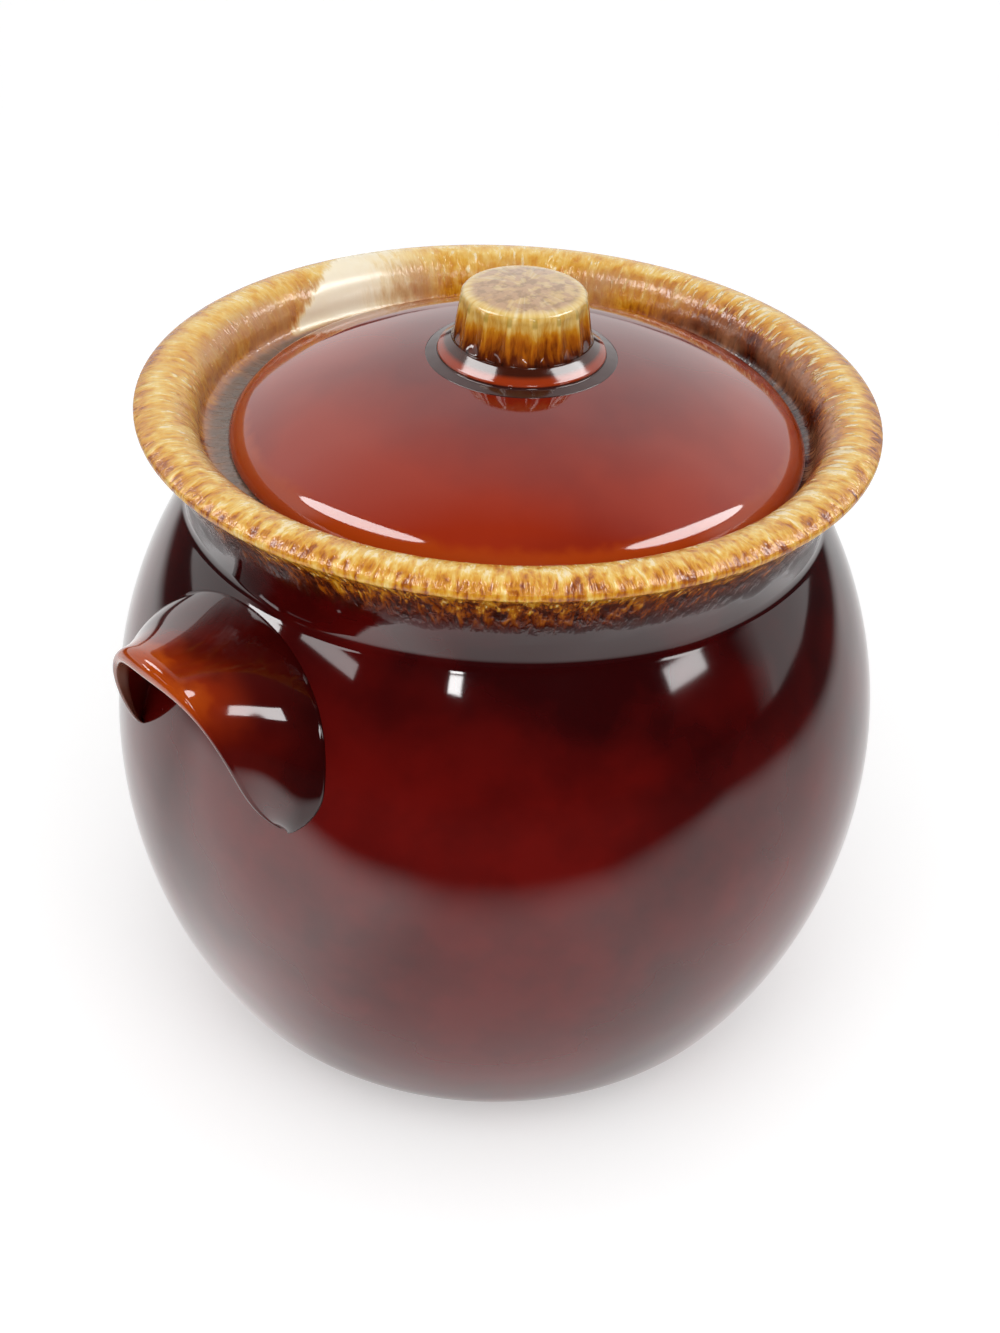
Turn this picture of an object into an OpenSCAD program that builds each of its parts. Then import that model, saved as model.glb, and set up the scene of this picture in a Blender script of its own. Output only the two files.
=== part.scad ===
// Stoneware bean pot: a globe with a rolled rim, two lug handles and a loose domed lid with a fluted knob.
// Millimetres. The origin is the middle of the resting plane, +Z is up and the two lugs lie along X.

/* [Globe] */
// Greatest diameter of the globe
body_d = 178; // [166:1:190]
// Height of the widest line above the table
belly_z = 76; // [70:1:84]
// Radius of the profile arc above the widest line
shoulder_r = 104; // [98:1:112]
// Radius of the profile arc below the widest line
flank_r = 116; // [106:1:126]
// Radius of the arc where the flank turns under
heel_r = 33; // [28:1:38]
// Wall thickness of the globe
wall_t = 6.5; // [5:0.5:8]
// Thickness of the floor
floor_t = 6.5; // [5:0.5:9]

/* [Foot] */
// Height of the bare foot ring
foot_h = 2.5; // [1.5:0.5:4]
// Width of the foot ring
foot_w = 7; // [5:0.5:10]
// Step from the glazed edge in to the foot ring
foot_step = 2.5; // [1:0.5:4]
// Bevel on both lower edges of the foot ring
foot_bevel = 0.6; // [0.2:0.1:1]

/* [Neck and rim] */
// Outer diameter at the crease where the neck stands on the shoulder
neck_d = 142.8; // [137:0.2:148]
// Section radius of the long hollow from that crease up to the rim's edge
neck_hollow_r = 32; // [26:1:40]
// Thickness of the neck, from the crease in to the throat
neck_wall_t = 12.9; // [11.5:0.1:14.5]
// Height of the rim's crown above the crease
rim_rise = 25.66; // [24:0.02:28]
// Height of the rim collar, from its joint with the shoulder up to the crown
collar_h = 19.6; // [18:0.2:22]
// Section radius of the rolled rim
rim_roll_r = 8.5; // [7.5:0.5:9.5]
// Overhang of the rim past the middle of its roll
rim_lip = 5.5; // [4:0.5:6.5]
// Height of the narrow band at the rim's outer edge
rim_edge_h = 1.3; // [0.8:0.1:2]
// Width of the ledge that carries the lid
seat_w = 9.5; // [8.5:0.5:11]
// Depth of that ledge below the rim's crown
seat_depth = 10; // [9:0.5:11]

/* [Lug handles] */
// Width of a lug across its root
lug_w = 66; // [60:1:72]
// Height of the root's crest above the widest line
lug_rise = 56; // [52:1:57]
// Height of the root's two lower ends above the widest line
lug_foot_rise = 17; // [12:1:22]
// Width of the arch that the lip makes
lip_w = 43; // [38:1:48]
// How far the lip stands out past the globe
lip_stand = 11; // [8:1:18]
// Drop of the lip's crest below the root's crest
lip_drop = 4.8; // [2:0.2:8]
// Thickness of a lug at its root
lug_t = 8; // [6:0.5:10]
// Thickness of a lug at its lip's crest
lip_t = 5.5; // [4:0.5:7]
// Depth of the shallow dish along a lug's back
lug_dish = 0.6; // [0:0.2:1.6]

/* [Lid] */
// Radial gap between the lid and the wall of its well
lid_gap = 4.4; // [3.6:0.1:5]
// Radial play of the locating ring in the throat
lid_play = 4; // [3:0.1:4.5]
// Share of that play by which the loose lid has slid towards -Y
lid_drift_share = 0.8; // [0:0.1:0.8]
// Radius of the dome
dome_r = 121; // [110:1:135]
// Thickness of the dome
lid_t = 6; // [4.5:0.5:7]
// Section radius of the lid's rounded edge
lid_edge_r = 3.5; // [2.5:0.5:4.5]
// Height of the lid's widest line above its seat
lid_edge_z = 1.7; // [1:0.1:3]
// Depth of the locating ring below the seat
ring_h = 9; // [6:0.5:11]
// Thickness of the locating ring
ring_t = 5; // [3.5:0.5:7]

/* [Knob] */
// Diameter of the flare that joins the knob to the dome
knob_flare_d = 40; // [36:1:44]
// Height of the flare's thin outer edge
knob_edge_h = 0.8; // [0.4:0.1:1.2]
// Section radius of the flare
knob_flare_r = 4.5; // [3:0.5:5.5]
// Diameter of the waist under the fluted skirt
knob_waist_d = 28; // [24:0.5:29]
// Height of the waist
knob_waist_h = 3.2; // [2.5:0.1:5]
// Diameter of the skirt at its lower end
knob_skirt_d = 30.4; // [29.4:0.2:34]
// Diameter of the skirt at its top
knob_top_d = 27.8; // [25:0.2:29]
// Height of the skirt
knob_skirt_h = 12; // [10.5:0.5:15]
// Section radius of the knob's top edge
knob_round_r = 1.6; // [0.8:0.1:2.2]
// Number of flutes
flute_n = 16; // [12:1:18]
// Section radius of a flute
flute_r = 3.6; // [3:0.1:4.5]
// Depth of a flute
flute_depth = 0.9; // [0.5:0.1:1.1]
// Plain band above the flutes
flute_top_band = 1.8; // [1:0.1:2.5]
// Plain band below the flutes
flute_low_band = 0.4; // [0.2:0.1:1]

/* [Hidden] */
$fn = 160;

body_glaze = "#4a1710";
thin_glaze = "#8a3a16";
drip_glaze = "#d9a860";
bare_clay = "#d8c3a0";

// Globe: three arcs that run into each other, drawn in the plane of radius and height
body_r = body_d / 2;
shoulder_x = body_r - shoulder_r;
flank_x = body_r - flank_r;
heel_x = flank_x + sqrt(pow(flank_r - heel_r, 2) - pow(belly_z - heel_r, 2));
heel_top_z = belly_z - (belly_z - heel_r) * flank_r / (flank_r - heel_r);
floor_z = foot_h + floor_t;
foot_r = heel_x + sqrt(pow(heel_r, 2) - pow(heel_r - foot_h, 2)) - foot_step;
function globe_r(z) = shoulder_x + sqrt(pow(shoulder_r, 2) - pow(z - belly_z, 2));

// Rim, lid well and throat, over the crease on the shoulder
neck_r = neck_d / 2;
crease_z = belly_z + sqrt(pow(shoulder_r, 2) - pow(neck_r - shoulder_x, 2));
throat_r = neck_r - neck_wall_t;
well_r = throat_r + seat_w;
rim_z = crease_z + rim_rise;
joint_z = rim_z - collar_h;
seat_z = rim_z - seat_depth;
roll_x = well_r + rim_roll_r;
roll_z = rim_z - rim_roll_r;
rim_r = roll_x + rim_lip;
edge_z = roll_z + sqrt(pow(rim_roll_r, 2) - pow(rim_lip, 2)) - rim_edge_h;

// Neck: one long hollow from the crease out to the rim's edge
neck_span = [rim_r - neck_r, edge_z - crease_z];
neck_sag = sqrt(pow(neck_hollow_r / norm(neck_span), 2) - 1 / 4);
hollow_x = (neck_r + rim_r) / 2 + neck_span[1] * neck_sag;
hollow_z = (crease_z + edge_z) / 2 - neck_span[0] * neck_sag;

// Lugs: an arch of sections from the root, sunk in the wall, out to the lip
crest_z = belly_z + lug_rise;
lug_foot_z = belly_z + lug_foot_rise;
lip_crest_z = crest_z - lip_drop;
lip_reach = body_r + lip_stand - lip_t / 2;
root_sink = wall_t + lip_t / 4;
root_fullness = 0.74;
lip_fullness = 0.67;
lip_roundness = 0.4;
lip_slim = 0.45;
lug_rings = 32;
lug_spans = 4;
lip_steps = 6;
lip_foot_x = sqrt(pow(globe_r(lug_foot_z), 2) - pow(lip_w / 2, 2)) - lip_t;

// Lid
lid_r = well_r - lid_gap;
lid_drift = lid_play * lid_drift_share;
lid_shift = [0, -lid_drift, 0];
edge_x = lid_r - lid_edge_r;
lid_round_z = seat_z + lid_edge_z;
dome_z = lid_round_z - sqrt(pow(dome_r - lid_edge_r, 2) - pow(edge_x, 2));
edge_share = dome_r / (dome_r - lid_edge_r);
dome_end = [edge_x * edge_share, dome_z + (lid_round_z - dome_z) * edge_share];
ring_r = throat_r - lid_play;

// Knob
flare_r = knob_flare_d / 2;
waist_r = knob_waist_d / 2;
skirt_r = knob_skirt_d / 2;
top_r = knob_top_d / 2;
flare_z = dome_z + sqrt(pow(dome_r, 2) - pow(flare_r, 2)) + knob_edge_h;
skirt_z = flare_z + knob_waist_h;
knob_z = skirt_z + knob_skirt_h;
skirt_taper = atan((skirt_r - top_r) / knob_skirt_h);
flute_half = sqrt(pow(flute_r, 2) - pow(flute_r - flute_depth, 2));
flute_run = knob_skirt_h - flute_top_band - flute_low_band - 2 * flute_half;
flute_mid = flute_low_band + flute_half + flute_run / 2;
flute_mid_r = skirt_r - flute_mid * tan(skirt_taper);

// A box in the plane of radius and height, from the axis out to radius r
module band(r, low, high) {
    translate([0, low])
        square([r, high - low]);
}

// The globe as a full section, with its wall taken off by inset
module globe_section(inset) {
    intersection() {
        translate([shoulder_x, belly_z])
            circle(shoulder_r - inset);
        band(body_d, belly_z, rim_z);
    }
    intersection() {
        translate([flank_x, belly_z])
            circle(flank_r - inset);
        band(body_d, heel_top_z, belly_z);
    }
    intersection() {
        translate([heel_x, heel_r])
            circle(heel_r - inset);
        band(body_d, inset, heel_top_z);
    }
    band(heel_x, inset, heel_top_z);
}

// Section of the pot's outside, filled to the axis
module pot_outside() {
    difference() {
        union() {
            globe_section(0);
            band(rim_r, crease_z, roll_z);
            intersection() {
                translate([roll_x, roll_z])
                    circle(rim_roll_r);
                band(rim_r, roll_z, rim_z);
            }
            band(roll_x, roll_z, rim_z);
        }
        intersection() {
            translate([hollow_x, hollow_z])
                circle(neck_hollow_r);
            band(hollow_x, crease_z, edge_z);
        }
        band(body_d, -foot_h, foot_h);
    }
}

// Section of the pot's inside: globe, throat and the well over the lid seat
module pot_inside() {
    intersection() {
        globe_section(wall_t);
        band(body_d, floor_z, joint_z);
    }
    band(throat_r, belly_z, seat_z);
    difference() {
        band(roll_x, seat_z, rim_z + rim_lip);
        translate([roll_x, roll_z])
            circle(rim_roll_r);
        translate([well_r, seat_z - rim_lip])
            square([rim_roll_r + rim_lip, roll_z - seat_z + rim_lip]);
    }
}

// The pot's wall between two heights: it is thrown in sections that are joined before firing
module wall_section(low, high) {
    rotate_extrude()
        intersection() {
            difference() {
                pot_outside();
                pot_inside();
            }
            band(body_d, low, high);
        }
}

// Floor and lower half, up to the widest line
module pot_bowl() {
    color(body_glaze)
        wall_section(0, belly_z);
}

// Upper half, from the widest line past the crease into the neck
module pot_shoulder() {
    color(body_glaze)
        wall_section(belly_z, joint_z);
}

// Neck, rolled rim, lid well and lid seat
module rim_collar() {
    color(drip_glaze)
        wall_section(joint_z, rim_z + rim_lip);
}

module foot_ring() {
    color(bare_clay)
        rotate_extrude()
            polygon([[foot_r - foot_w, foot_h], [foot_r - foot_w, foot_bevel],
                     [foot_r - foot_w + foot_bevel, 0], [foot_r - foot_bevel, 0],
                     [foot_r, foot_bevel], [foot_r, foot_h]]);
}

// Height of an arch at turn a, from its foot up to its crest
function arch_z(a, foot, crest, fullness) = foot + (crest - foot) * pow(max(cos(a), 0), fullness);

// Middle of a lug's thickness at its root, sunk behind the globe's face
function root_point(a) =
    let (y = (lug_w - lug_t) / 2 * sin(a))
    let (z = arch_z(a, lug_foot_z, crest_z - lug_t / 2, root_fullness))
    [sqrt(pow(globe_r(z), 2) - pow(y, 2)) - root_sink, y, z];

// Middle of a lug's thickness at its lip
function lip_point(a) =
    [lip_foot_x + (lip_reach - lip_foot_x) * pow(max(cos(a), 0), lip_roundness),
     lip_w / 2 * sin(a),
     arch_z(a, lug_foot_z, lip_crest_z, lip_fullness)];

// Thickness of the lip at turn a, which thins from its crest to its two ends
function lip_thickness(a) = lip_t * (lip_slim + (1 - lip_slim) * pow(max(cos(a), 0), 2));

// One closed section of a lug at turn a: along its back, round the lip and home along its underside
function lug_section(a) =
    let (root = root_point(a), lip = lip_point(a), edge_t = lip_thickness(a))
    let (face = [0, sin(a), cos(a)], out = [1, 0, 0])
    let (back = [for (i = [0 : lug_spans - 1])
        let (u = i / lug_spans)
        root + (lip - root) * u
            + face * ((lug_t + (edge_t - lug_t) * u) / 2 - lug_dish * sin(180 * u))])
    let (round = [for (i = [0 : lip_steps])
        let (t = 180 * i / lip_steps)
        lip + (face * cos(t) + out * sin(t)) * edge_t / 2])
    let (under = [for (i = [lug_spans - 1 : -1 : 0])
        let (u = i / lug_spans)
        root + (lip - root) * u - face * (lug_t + (edge_t - lug_t) * u) / 2])
    concat(back, round, under);

// The lug as a skin over its sections, closest near its two ends, before the pot is cut out of it
module lug_skin() {
    count = 2 * lug_spans + lip_steps + 1;
    points = [for (k = [0 : lug_rings]) each lug_section(-90 * cos(180 * k / lug_rings))];
    sides = [for (k = [0 : lug_rings - 1], i = [0 : count - 1])
        let (a = k * count + i, b = k * count + (i + 1) % count)
        each [[a, b, b + count], [a, b + count, a + count]]];
    ends = [[for (i = [count - 1 : -1 : 0]) i], [for (i = [0 : count - 1]) lug_rings * count + i]];
    polyhedron(points, concat(sides, ends));
}

module lug() {
    color(thin_glaze)
        difference() {
            lug_skin();
            rotate_extrude()
                pot_outside();
        }
}

module lug_handle_right() {
    lug();
}

module lug_handle_left() {
    rotate([0, 0, 180])
        lug();
}

// Section of the ball that the dome's face lies on, set in by inset
module dome_section(inset) {
    translate([0, dome_z])
        circle(dome_r - inset);
}

module lid_dome() {
    color(body_glaze)
        translate(lid_shift)
            rotate_extrude()
                difference() {
                    union() {
                        intersection() {
                            dome_section(0);
                            union() {
                                band(edge_x, seat_z, dome_z + dome_r);
                                polygon([[0, dome_z], [edge_x, seat_z], [edge_x, lid_round_z], dome_end,
                                         dome_end * 2 - [0, dome_z], [0, dome_z + 2 * dome_r]]);
                            }
                            band(lid_r, seat_z, dome_z + dome_r);
                        }
                        intersection() {
                            translate([edge_x, lid_round_z])
                                circle(lid_edge_r);
                            band(lid_r, seat_z, dome_z + dome_r);
                        }
                    }
                    intersection() {
                        dome_section(lid_t);
                        band(ring_r, seat_z - ring_h, dome_z + dome_r);
                    }
                }
}

module lid_locating_ring() {
    color(body_glaze)
        translate(lid_shift)
            rotate_extrude()
                intersection() {
                    dome_section(lid_t);
                    translate([ring_r - ring_t, seat_z - ring_h])
                        square([ring_t, dome_r]);
                }
}

// Section of the knob without its flutes
module knob_section() {
    difference() {
        union() {
            polygon([[0, skirt_z], [skirt_r, skirt_z], [top_r, knob_z - knob_round_r],
                     [0, knob_z - knob_round_r]]);
            translate([top_r - knob_round_r, knob_z - knob_round_r])
                circle(knob_round_r);
            band(top_r - knob_round_r, skirt_z, knob_z);
            band(waist_r, dome_z, skirt_z);
            band(flare_r, dome_z, flare_z);
            difference() {
                band(waist_r + knob_flare_r, dome_z, flare_z + knob_flare_r);
                translate([waist_r + knob_flare_r, flare_z + knob_flare_r])
                    circle(knob_flare_r);
            }
        }
        dome_section(0);
    }
}

// Round-ended cutter for one flute
module flute() {
    rotate_extrude($fn = 48)
        intersection() {
            union() {
                translate([0, -flute_run / 2])
                    circle(flute_r);
                translate([0, flute_run / 2])
                    circle(flute_r);
                translate([-flute_r, -flute_run / 2])
                    square([2 * flute_r, flute_run]);
            }
            translate([0, -knob_skirt_h])
                square([flute_r, 2 * knob_skirt_h]);
        }
}

module lid_knob() {
    color(drip_glaze)
        translate(lid_shift)
            difference() {
                rotate_extrude()
                    knob_section();
                for (i = [0 : flute_n - 1])
                    rotate([0, 0, 360 * i / flute_n])
                        translate([flute_mid_r + flute_r - flute_depth, 0, skirt_z + flute_mid])
                            rotate([0, -skirt_taper, 0])
                                flute();
            }
}

pot_bowl();
pot_shoulder();
rim_collar();
foot_ring();
lug_handle_left();
lug_handle_right();
lid_dome();
lid_locating_ring();
lid_knob();
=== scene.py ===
"""Dresses the solids of a glazed stoneware bean pot and sets it in a plain, pale studio."""

import logging
import math
from collections.abc import Iterable, Sequence
from dataclasses import dataclass, field
from enum import Enum
from functools import reduce

import bpy
import numpy as np
from mathutils import Matrix, Quaternion, Vector


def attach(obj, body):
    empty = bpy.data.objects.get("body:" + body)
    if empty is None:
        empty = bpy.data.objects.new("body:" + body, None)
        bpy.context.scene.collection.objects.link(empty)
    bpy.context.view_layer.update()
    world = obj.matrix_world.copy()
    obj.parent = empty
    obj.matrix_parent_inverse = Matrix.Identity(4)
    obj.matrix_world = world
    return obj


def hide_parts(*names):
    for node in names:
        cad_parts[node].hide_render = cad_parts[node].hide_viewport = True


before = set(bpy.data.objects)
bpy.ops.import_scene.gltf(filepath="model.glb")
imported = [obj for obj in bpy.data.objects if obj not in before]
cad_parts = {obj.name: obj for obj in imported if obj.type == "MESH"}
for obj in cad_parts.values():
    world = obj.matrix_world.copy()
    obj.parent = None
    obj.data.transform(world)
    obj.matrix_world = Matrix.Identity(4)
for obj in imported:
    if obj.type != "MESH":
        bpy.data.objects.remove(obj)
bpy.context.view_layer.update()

LOG = logging.getLogger("bean_pot")
MM = 0.001
Colour = tuple[float, float, float]
Feed = bpy.types.NodeSocket | float | Sequence[float]


class Body(Enum):
    """The bodies that pieces ride on."""

    POT = "pot"
    LID = "lid"


class Slot(Enum):
    """The finishes."""

    DARK = "dark_glaze"
    THIN = "thin_glaze"
    DRIP = "drip_glaze"
    CLAY = "bare_clay"


class Side(Enum):
    """Which end of the X axis a lug stands at."""

    LEFT = -1
    RIGHT = 1


class Outline:
    """A section drawn from point to point in the plane of radius and height, in millimetres."""

    def __init__(self, radius: float, height: float) -> None:
        """Starts the section at one point."""
        self.points: list[np.ndarray] = [np.array((radius, height), float)]
        self.corners: dict[int, float] = {}

    def line(self, radius: float, height: float, step: float = 2.0) -> "Outline":
        """Draws a straight stretch in short steps.

        Args:
            radius: Where the stretch ends, out from the axis.
            height: Where the stretch ends, up from the table.
            step: Longest step along it.

        Returns:
            The outline itself.
        """
        start, end = self.points[-1], np.array((radius, height), float)
        count = max(1, math.ceil(np.linalg.norm(end - start) / step))
        self.points += [start + (end - start) * i / count for i in range(1, count + 1)]
        return self

    def arc(self, centre: tuple[float, float], radius: float, first: float, last: float,
            step: float = 2.0) -> "Outline":
        """Draws an arc that starts where the outline now ends.

        Args:
            centre: Middle of the arc.
            radius: Its radius.
            first: Angle of its start, in radians.
            last: Angle of its end, in radians.
            step: Longest step along it.

        Returns:
            The outline itself.
        """
        count = max(2, math.ceil(abs(last - first) * radius / step))
        for i in range(1, count + 1):
            turn = first + (last - first) * i / count
            out = np.array((math.cos(turn), math.sin(turn)))
            self.points.append(np.array(centre) + radius * out)
        return self

    def soften(self, reach: float) -> "Outline":
        """Marks the last point as a corner that is rounded over reach on both sides."""
        self.corners[len(self.points) - 1] = reach
        return self

    def walk(self, points: list[np.ndarray], index: int, step: int, reach: float) -> tuple[int, np.ndarray]:
        """Follows the outline away from a corner.

        Args:
            points: The outline's points.
            index: The corner.
            step: 1 to go on, -1 to go back.
            reach: How far to go.

        Returns:
            The first point beyond that reach, and the place at that reach.
        """
        gone = 0.0
        while 0 <= index + step < len(points):
            stretch = points[index + step] - points[index]
            length = float(np.linalg.norm(stretch))
            if gone + length >= reach:
                return index + step, points[index] + stretch * (reach - gone) / length
            gone += length
            index += step
        return index, points[index]

    def section(self) -> np.ndarray:
        """Rounds the marked corners.

        Returns:
            The section's points, one row each.
        """
        points = list(self.points)
        for index in sorted(self.corners, reverse=True):
            back, start = self.walk(points, index, -1, self.corners[index])
            ahead, end = self.walk(points, index, 1, self.corners[index])
            bend = [start * (1 - t) ** 2 + points[index] * 2 * t * (1 - t) + end * t * t
                    for t in np.linspace(0, 1, 7)]
            points[back + 1:ahead] = bend
        kept = [points[0]]
        for point in points[1:]:
            if np.linalg.norm(point - kept[-1]) > 1e-4:
                kept.append(point)
        return np.array(kept)


@dataclass
class Strip:
    """A stretch of a turned section with what its points carry."""

    section: np.ndarray
    normals: np.ndarray
    values: dict[str, np.ndarray] = field(default_factory=dict)

    def part(self, first: int, last: int) -> "Strip":
        """The stretch from one point to another, both kept."""
        span = slice(first, last + 1)
        return Strip(self.section[span], self.normals[span],
                     {name: value[span] for name, value in self.values.items()})

    def joint(self, first: int, last: int) -> "Strip":
        """Draws a hidden joint face straight across the wall.

        Args:
            first: The point that it starts from.
            last: The point that it ends at.

        Returns:
            The face, which carries what its first point does.
        """
        section = self.section[[first, last]]
        values = {name: value[[first, first]] for name, value in self.values.items()}
        return Strip(section, section_normals(section), values)


def lengths(section: np.ndarray) -> np.ndarray:
    """Length along a section from its first point to each point, in millimetres."""
    steps = np.linalg.norm(np.diff(section, axis=0), axis=1)
    return np.concatenate([[0.0], np.cumsum(steps)])


def section_normals(section: np.ndarray) -> np.ndarray:
    """Finds which way a section's skin faces, on the right of its run.

    Args:
        section: The section's points in order.

    Returns:
        One unit vector in the plane of radius and height for each point.
    """
    steps = np.diff(section, axis=0)
    steps /= np.linalg.norm(steps, axis=1)[:, None]
    steps = np.concatenate([steps[:1], steps, steps[-1:]])
    along = steps[:-1] + steps[1:]
    along /= np.linalg.norm(along, axis=1)[:, None]
    ends = along[[0, -1]]
    on_axis = np.abs(section[[0, -1], :1]) < 1e-6
    along[[0, -1]] = np.where(on_axis, np.sign(ends) * (1.0, 0.0), ends)
    return np.stack([along[:, 1], -along[:, 0]], 1)


class Skin:
    """Collects grids of points into one mesh, in metres."""

    def __init__(self) -> None:
        """Starts with nothing."""
        self.points: list[np.ndarray] = []
        self.faces: list[tuple[int, ...]] = []
        self.normals: list[np.ndarray] = []
        self.values: dict[str, list[np.ndarray]] = {}
        self.count = 0

    def add(self, rings: np.ndarray, values: dict[str, np.ndarray], normals: np.ndarray | None = None,
            closed: bool = False) -> None:
        """Adds rings of points, with a pole where a ring has no width.

        Args:
            rings: Points as ring, place on the ring, and axis, in metres.
            values: What each point carries, as ring and place on the ring.
            normals: Which way each point faces, if that is known.
            closed: Whether the last ring joins the first.
        """
        total, turns = rings.shape[:2]
        index: list[np.ndarray] = []
        for k in range(total):
            pole = np.ptp(rings[k], axis=0).max() < 1e-7
            size = 1 if pole else turns
            index.append(self.count + (np.zeros(turns, int) if pole else np.arange(turns)))
            self.points.append(rings[k, :size])
            if normals is not None:
                self.normals.append(normals[k, :size])
            for name, value in values.items():
                self.values.setdefault(name, []).append(value[k, :size])
            self.count += size
        for k in range(total if closed else total - 1):
            low, high = index[k], index[(k + 1) % total]
            for i in range(turns):
                corners = (low[i], low[(i + 1) % turns], high[(i + 1) % turns], high[i])
                face = tuple(int(c) for n, c in enumerate(corners) if c != corners[n - 1])
                self.faces.append(face)

    def piece(self, name: str, material: bpy.types.Material,
              origin: Sequence[float] = (0.0, 0.0, 0.0)) -> bpy.types.Object:
        """Makes the mesh object.

        Args:
            name: The piece's name.
            material: Its finish.
            origin: Where the object's own origin lies, in metres.

        Returns:
            The object, linked to the scene.
        """
        points = np.concatenate(self.points) - np.array(origin)
        mesh = bpy.data.meshes.new(name)
        mesh.from_pydata(points.tolist(), [], self.faces)
        for label, stored in self.values.items():
            layer = mesh.attributes.new(label, "FLOAT", "POINT")
            layer.data.foreach_set("value", np.concatenate(stored).astype(np.float32))
        mesh.shade_smooth()
        if self.normals:
            mesh.normals_split_custom_set_from_vertices(np.concatenate(self.normals).tolist())
        mesh.validate()
        mesh.materials.append(material)
        made = bpy.data.objects.new(name, mesh)
        made.location = origin
        bpy.context.scene.collection.objects.link(made)
        return made


def turn(strips: Iterable[Strip], turns: int, shift: tuple[float, float] = (0.0, 0.0),
         closed: bool = False) -> Skin:
    """Turns strips of section about an upright axis.

    Args:
        strips: The strips, in millimetres.
        turns: Points round the axis.
        shift: Where the axis stands, in millimetres.
        closed: Whether each strip's end joins its start, as in a ring; its skin then faces as its faces do.

    Returns:
        The skin over all the strips.
    """
    skin = Skin()
    angle = (np.arange(turns) + 0.5) * 2 * math.pi / turns
    round_xy = np.stack([np.cos(angle), np.sin(angle)], 1)
    for strip in strips:
        radius, height = strip.section[:, 0], strip.section[:, 1]
        flat = radius[:, None, None] * round_xy[None] + np.array(shift)
        rings = np.concatenate([flat, np.broadcast_to(height[:, None, None], (*flat.shape[:2], 1))], 2)
        facing = np.concatenate([strip.normals[:, :1, None] * round_xy[None],
                                 np.broadcast_to(strip.normals[:, 1, None, None], (*flat.shape[:2], 1))], 2)
        values = {name: np.repeat(value[:, None], turns, 1) for name, value in strip.values.items()}
        skin.add(rings * MM, values, None if closed else facing, closed)
    return skin


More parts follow.
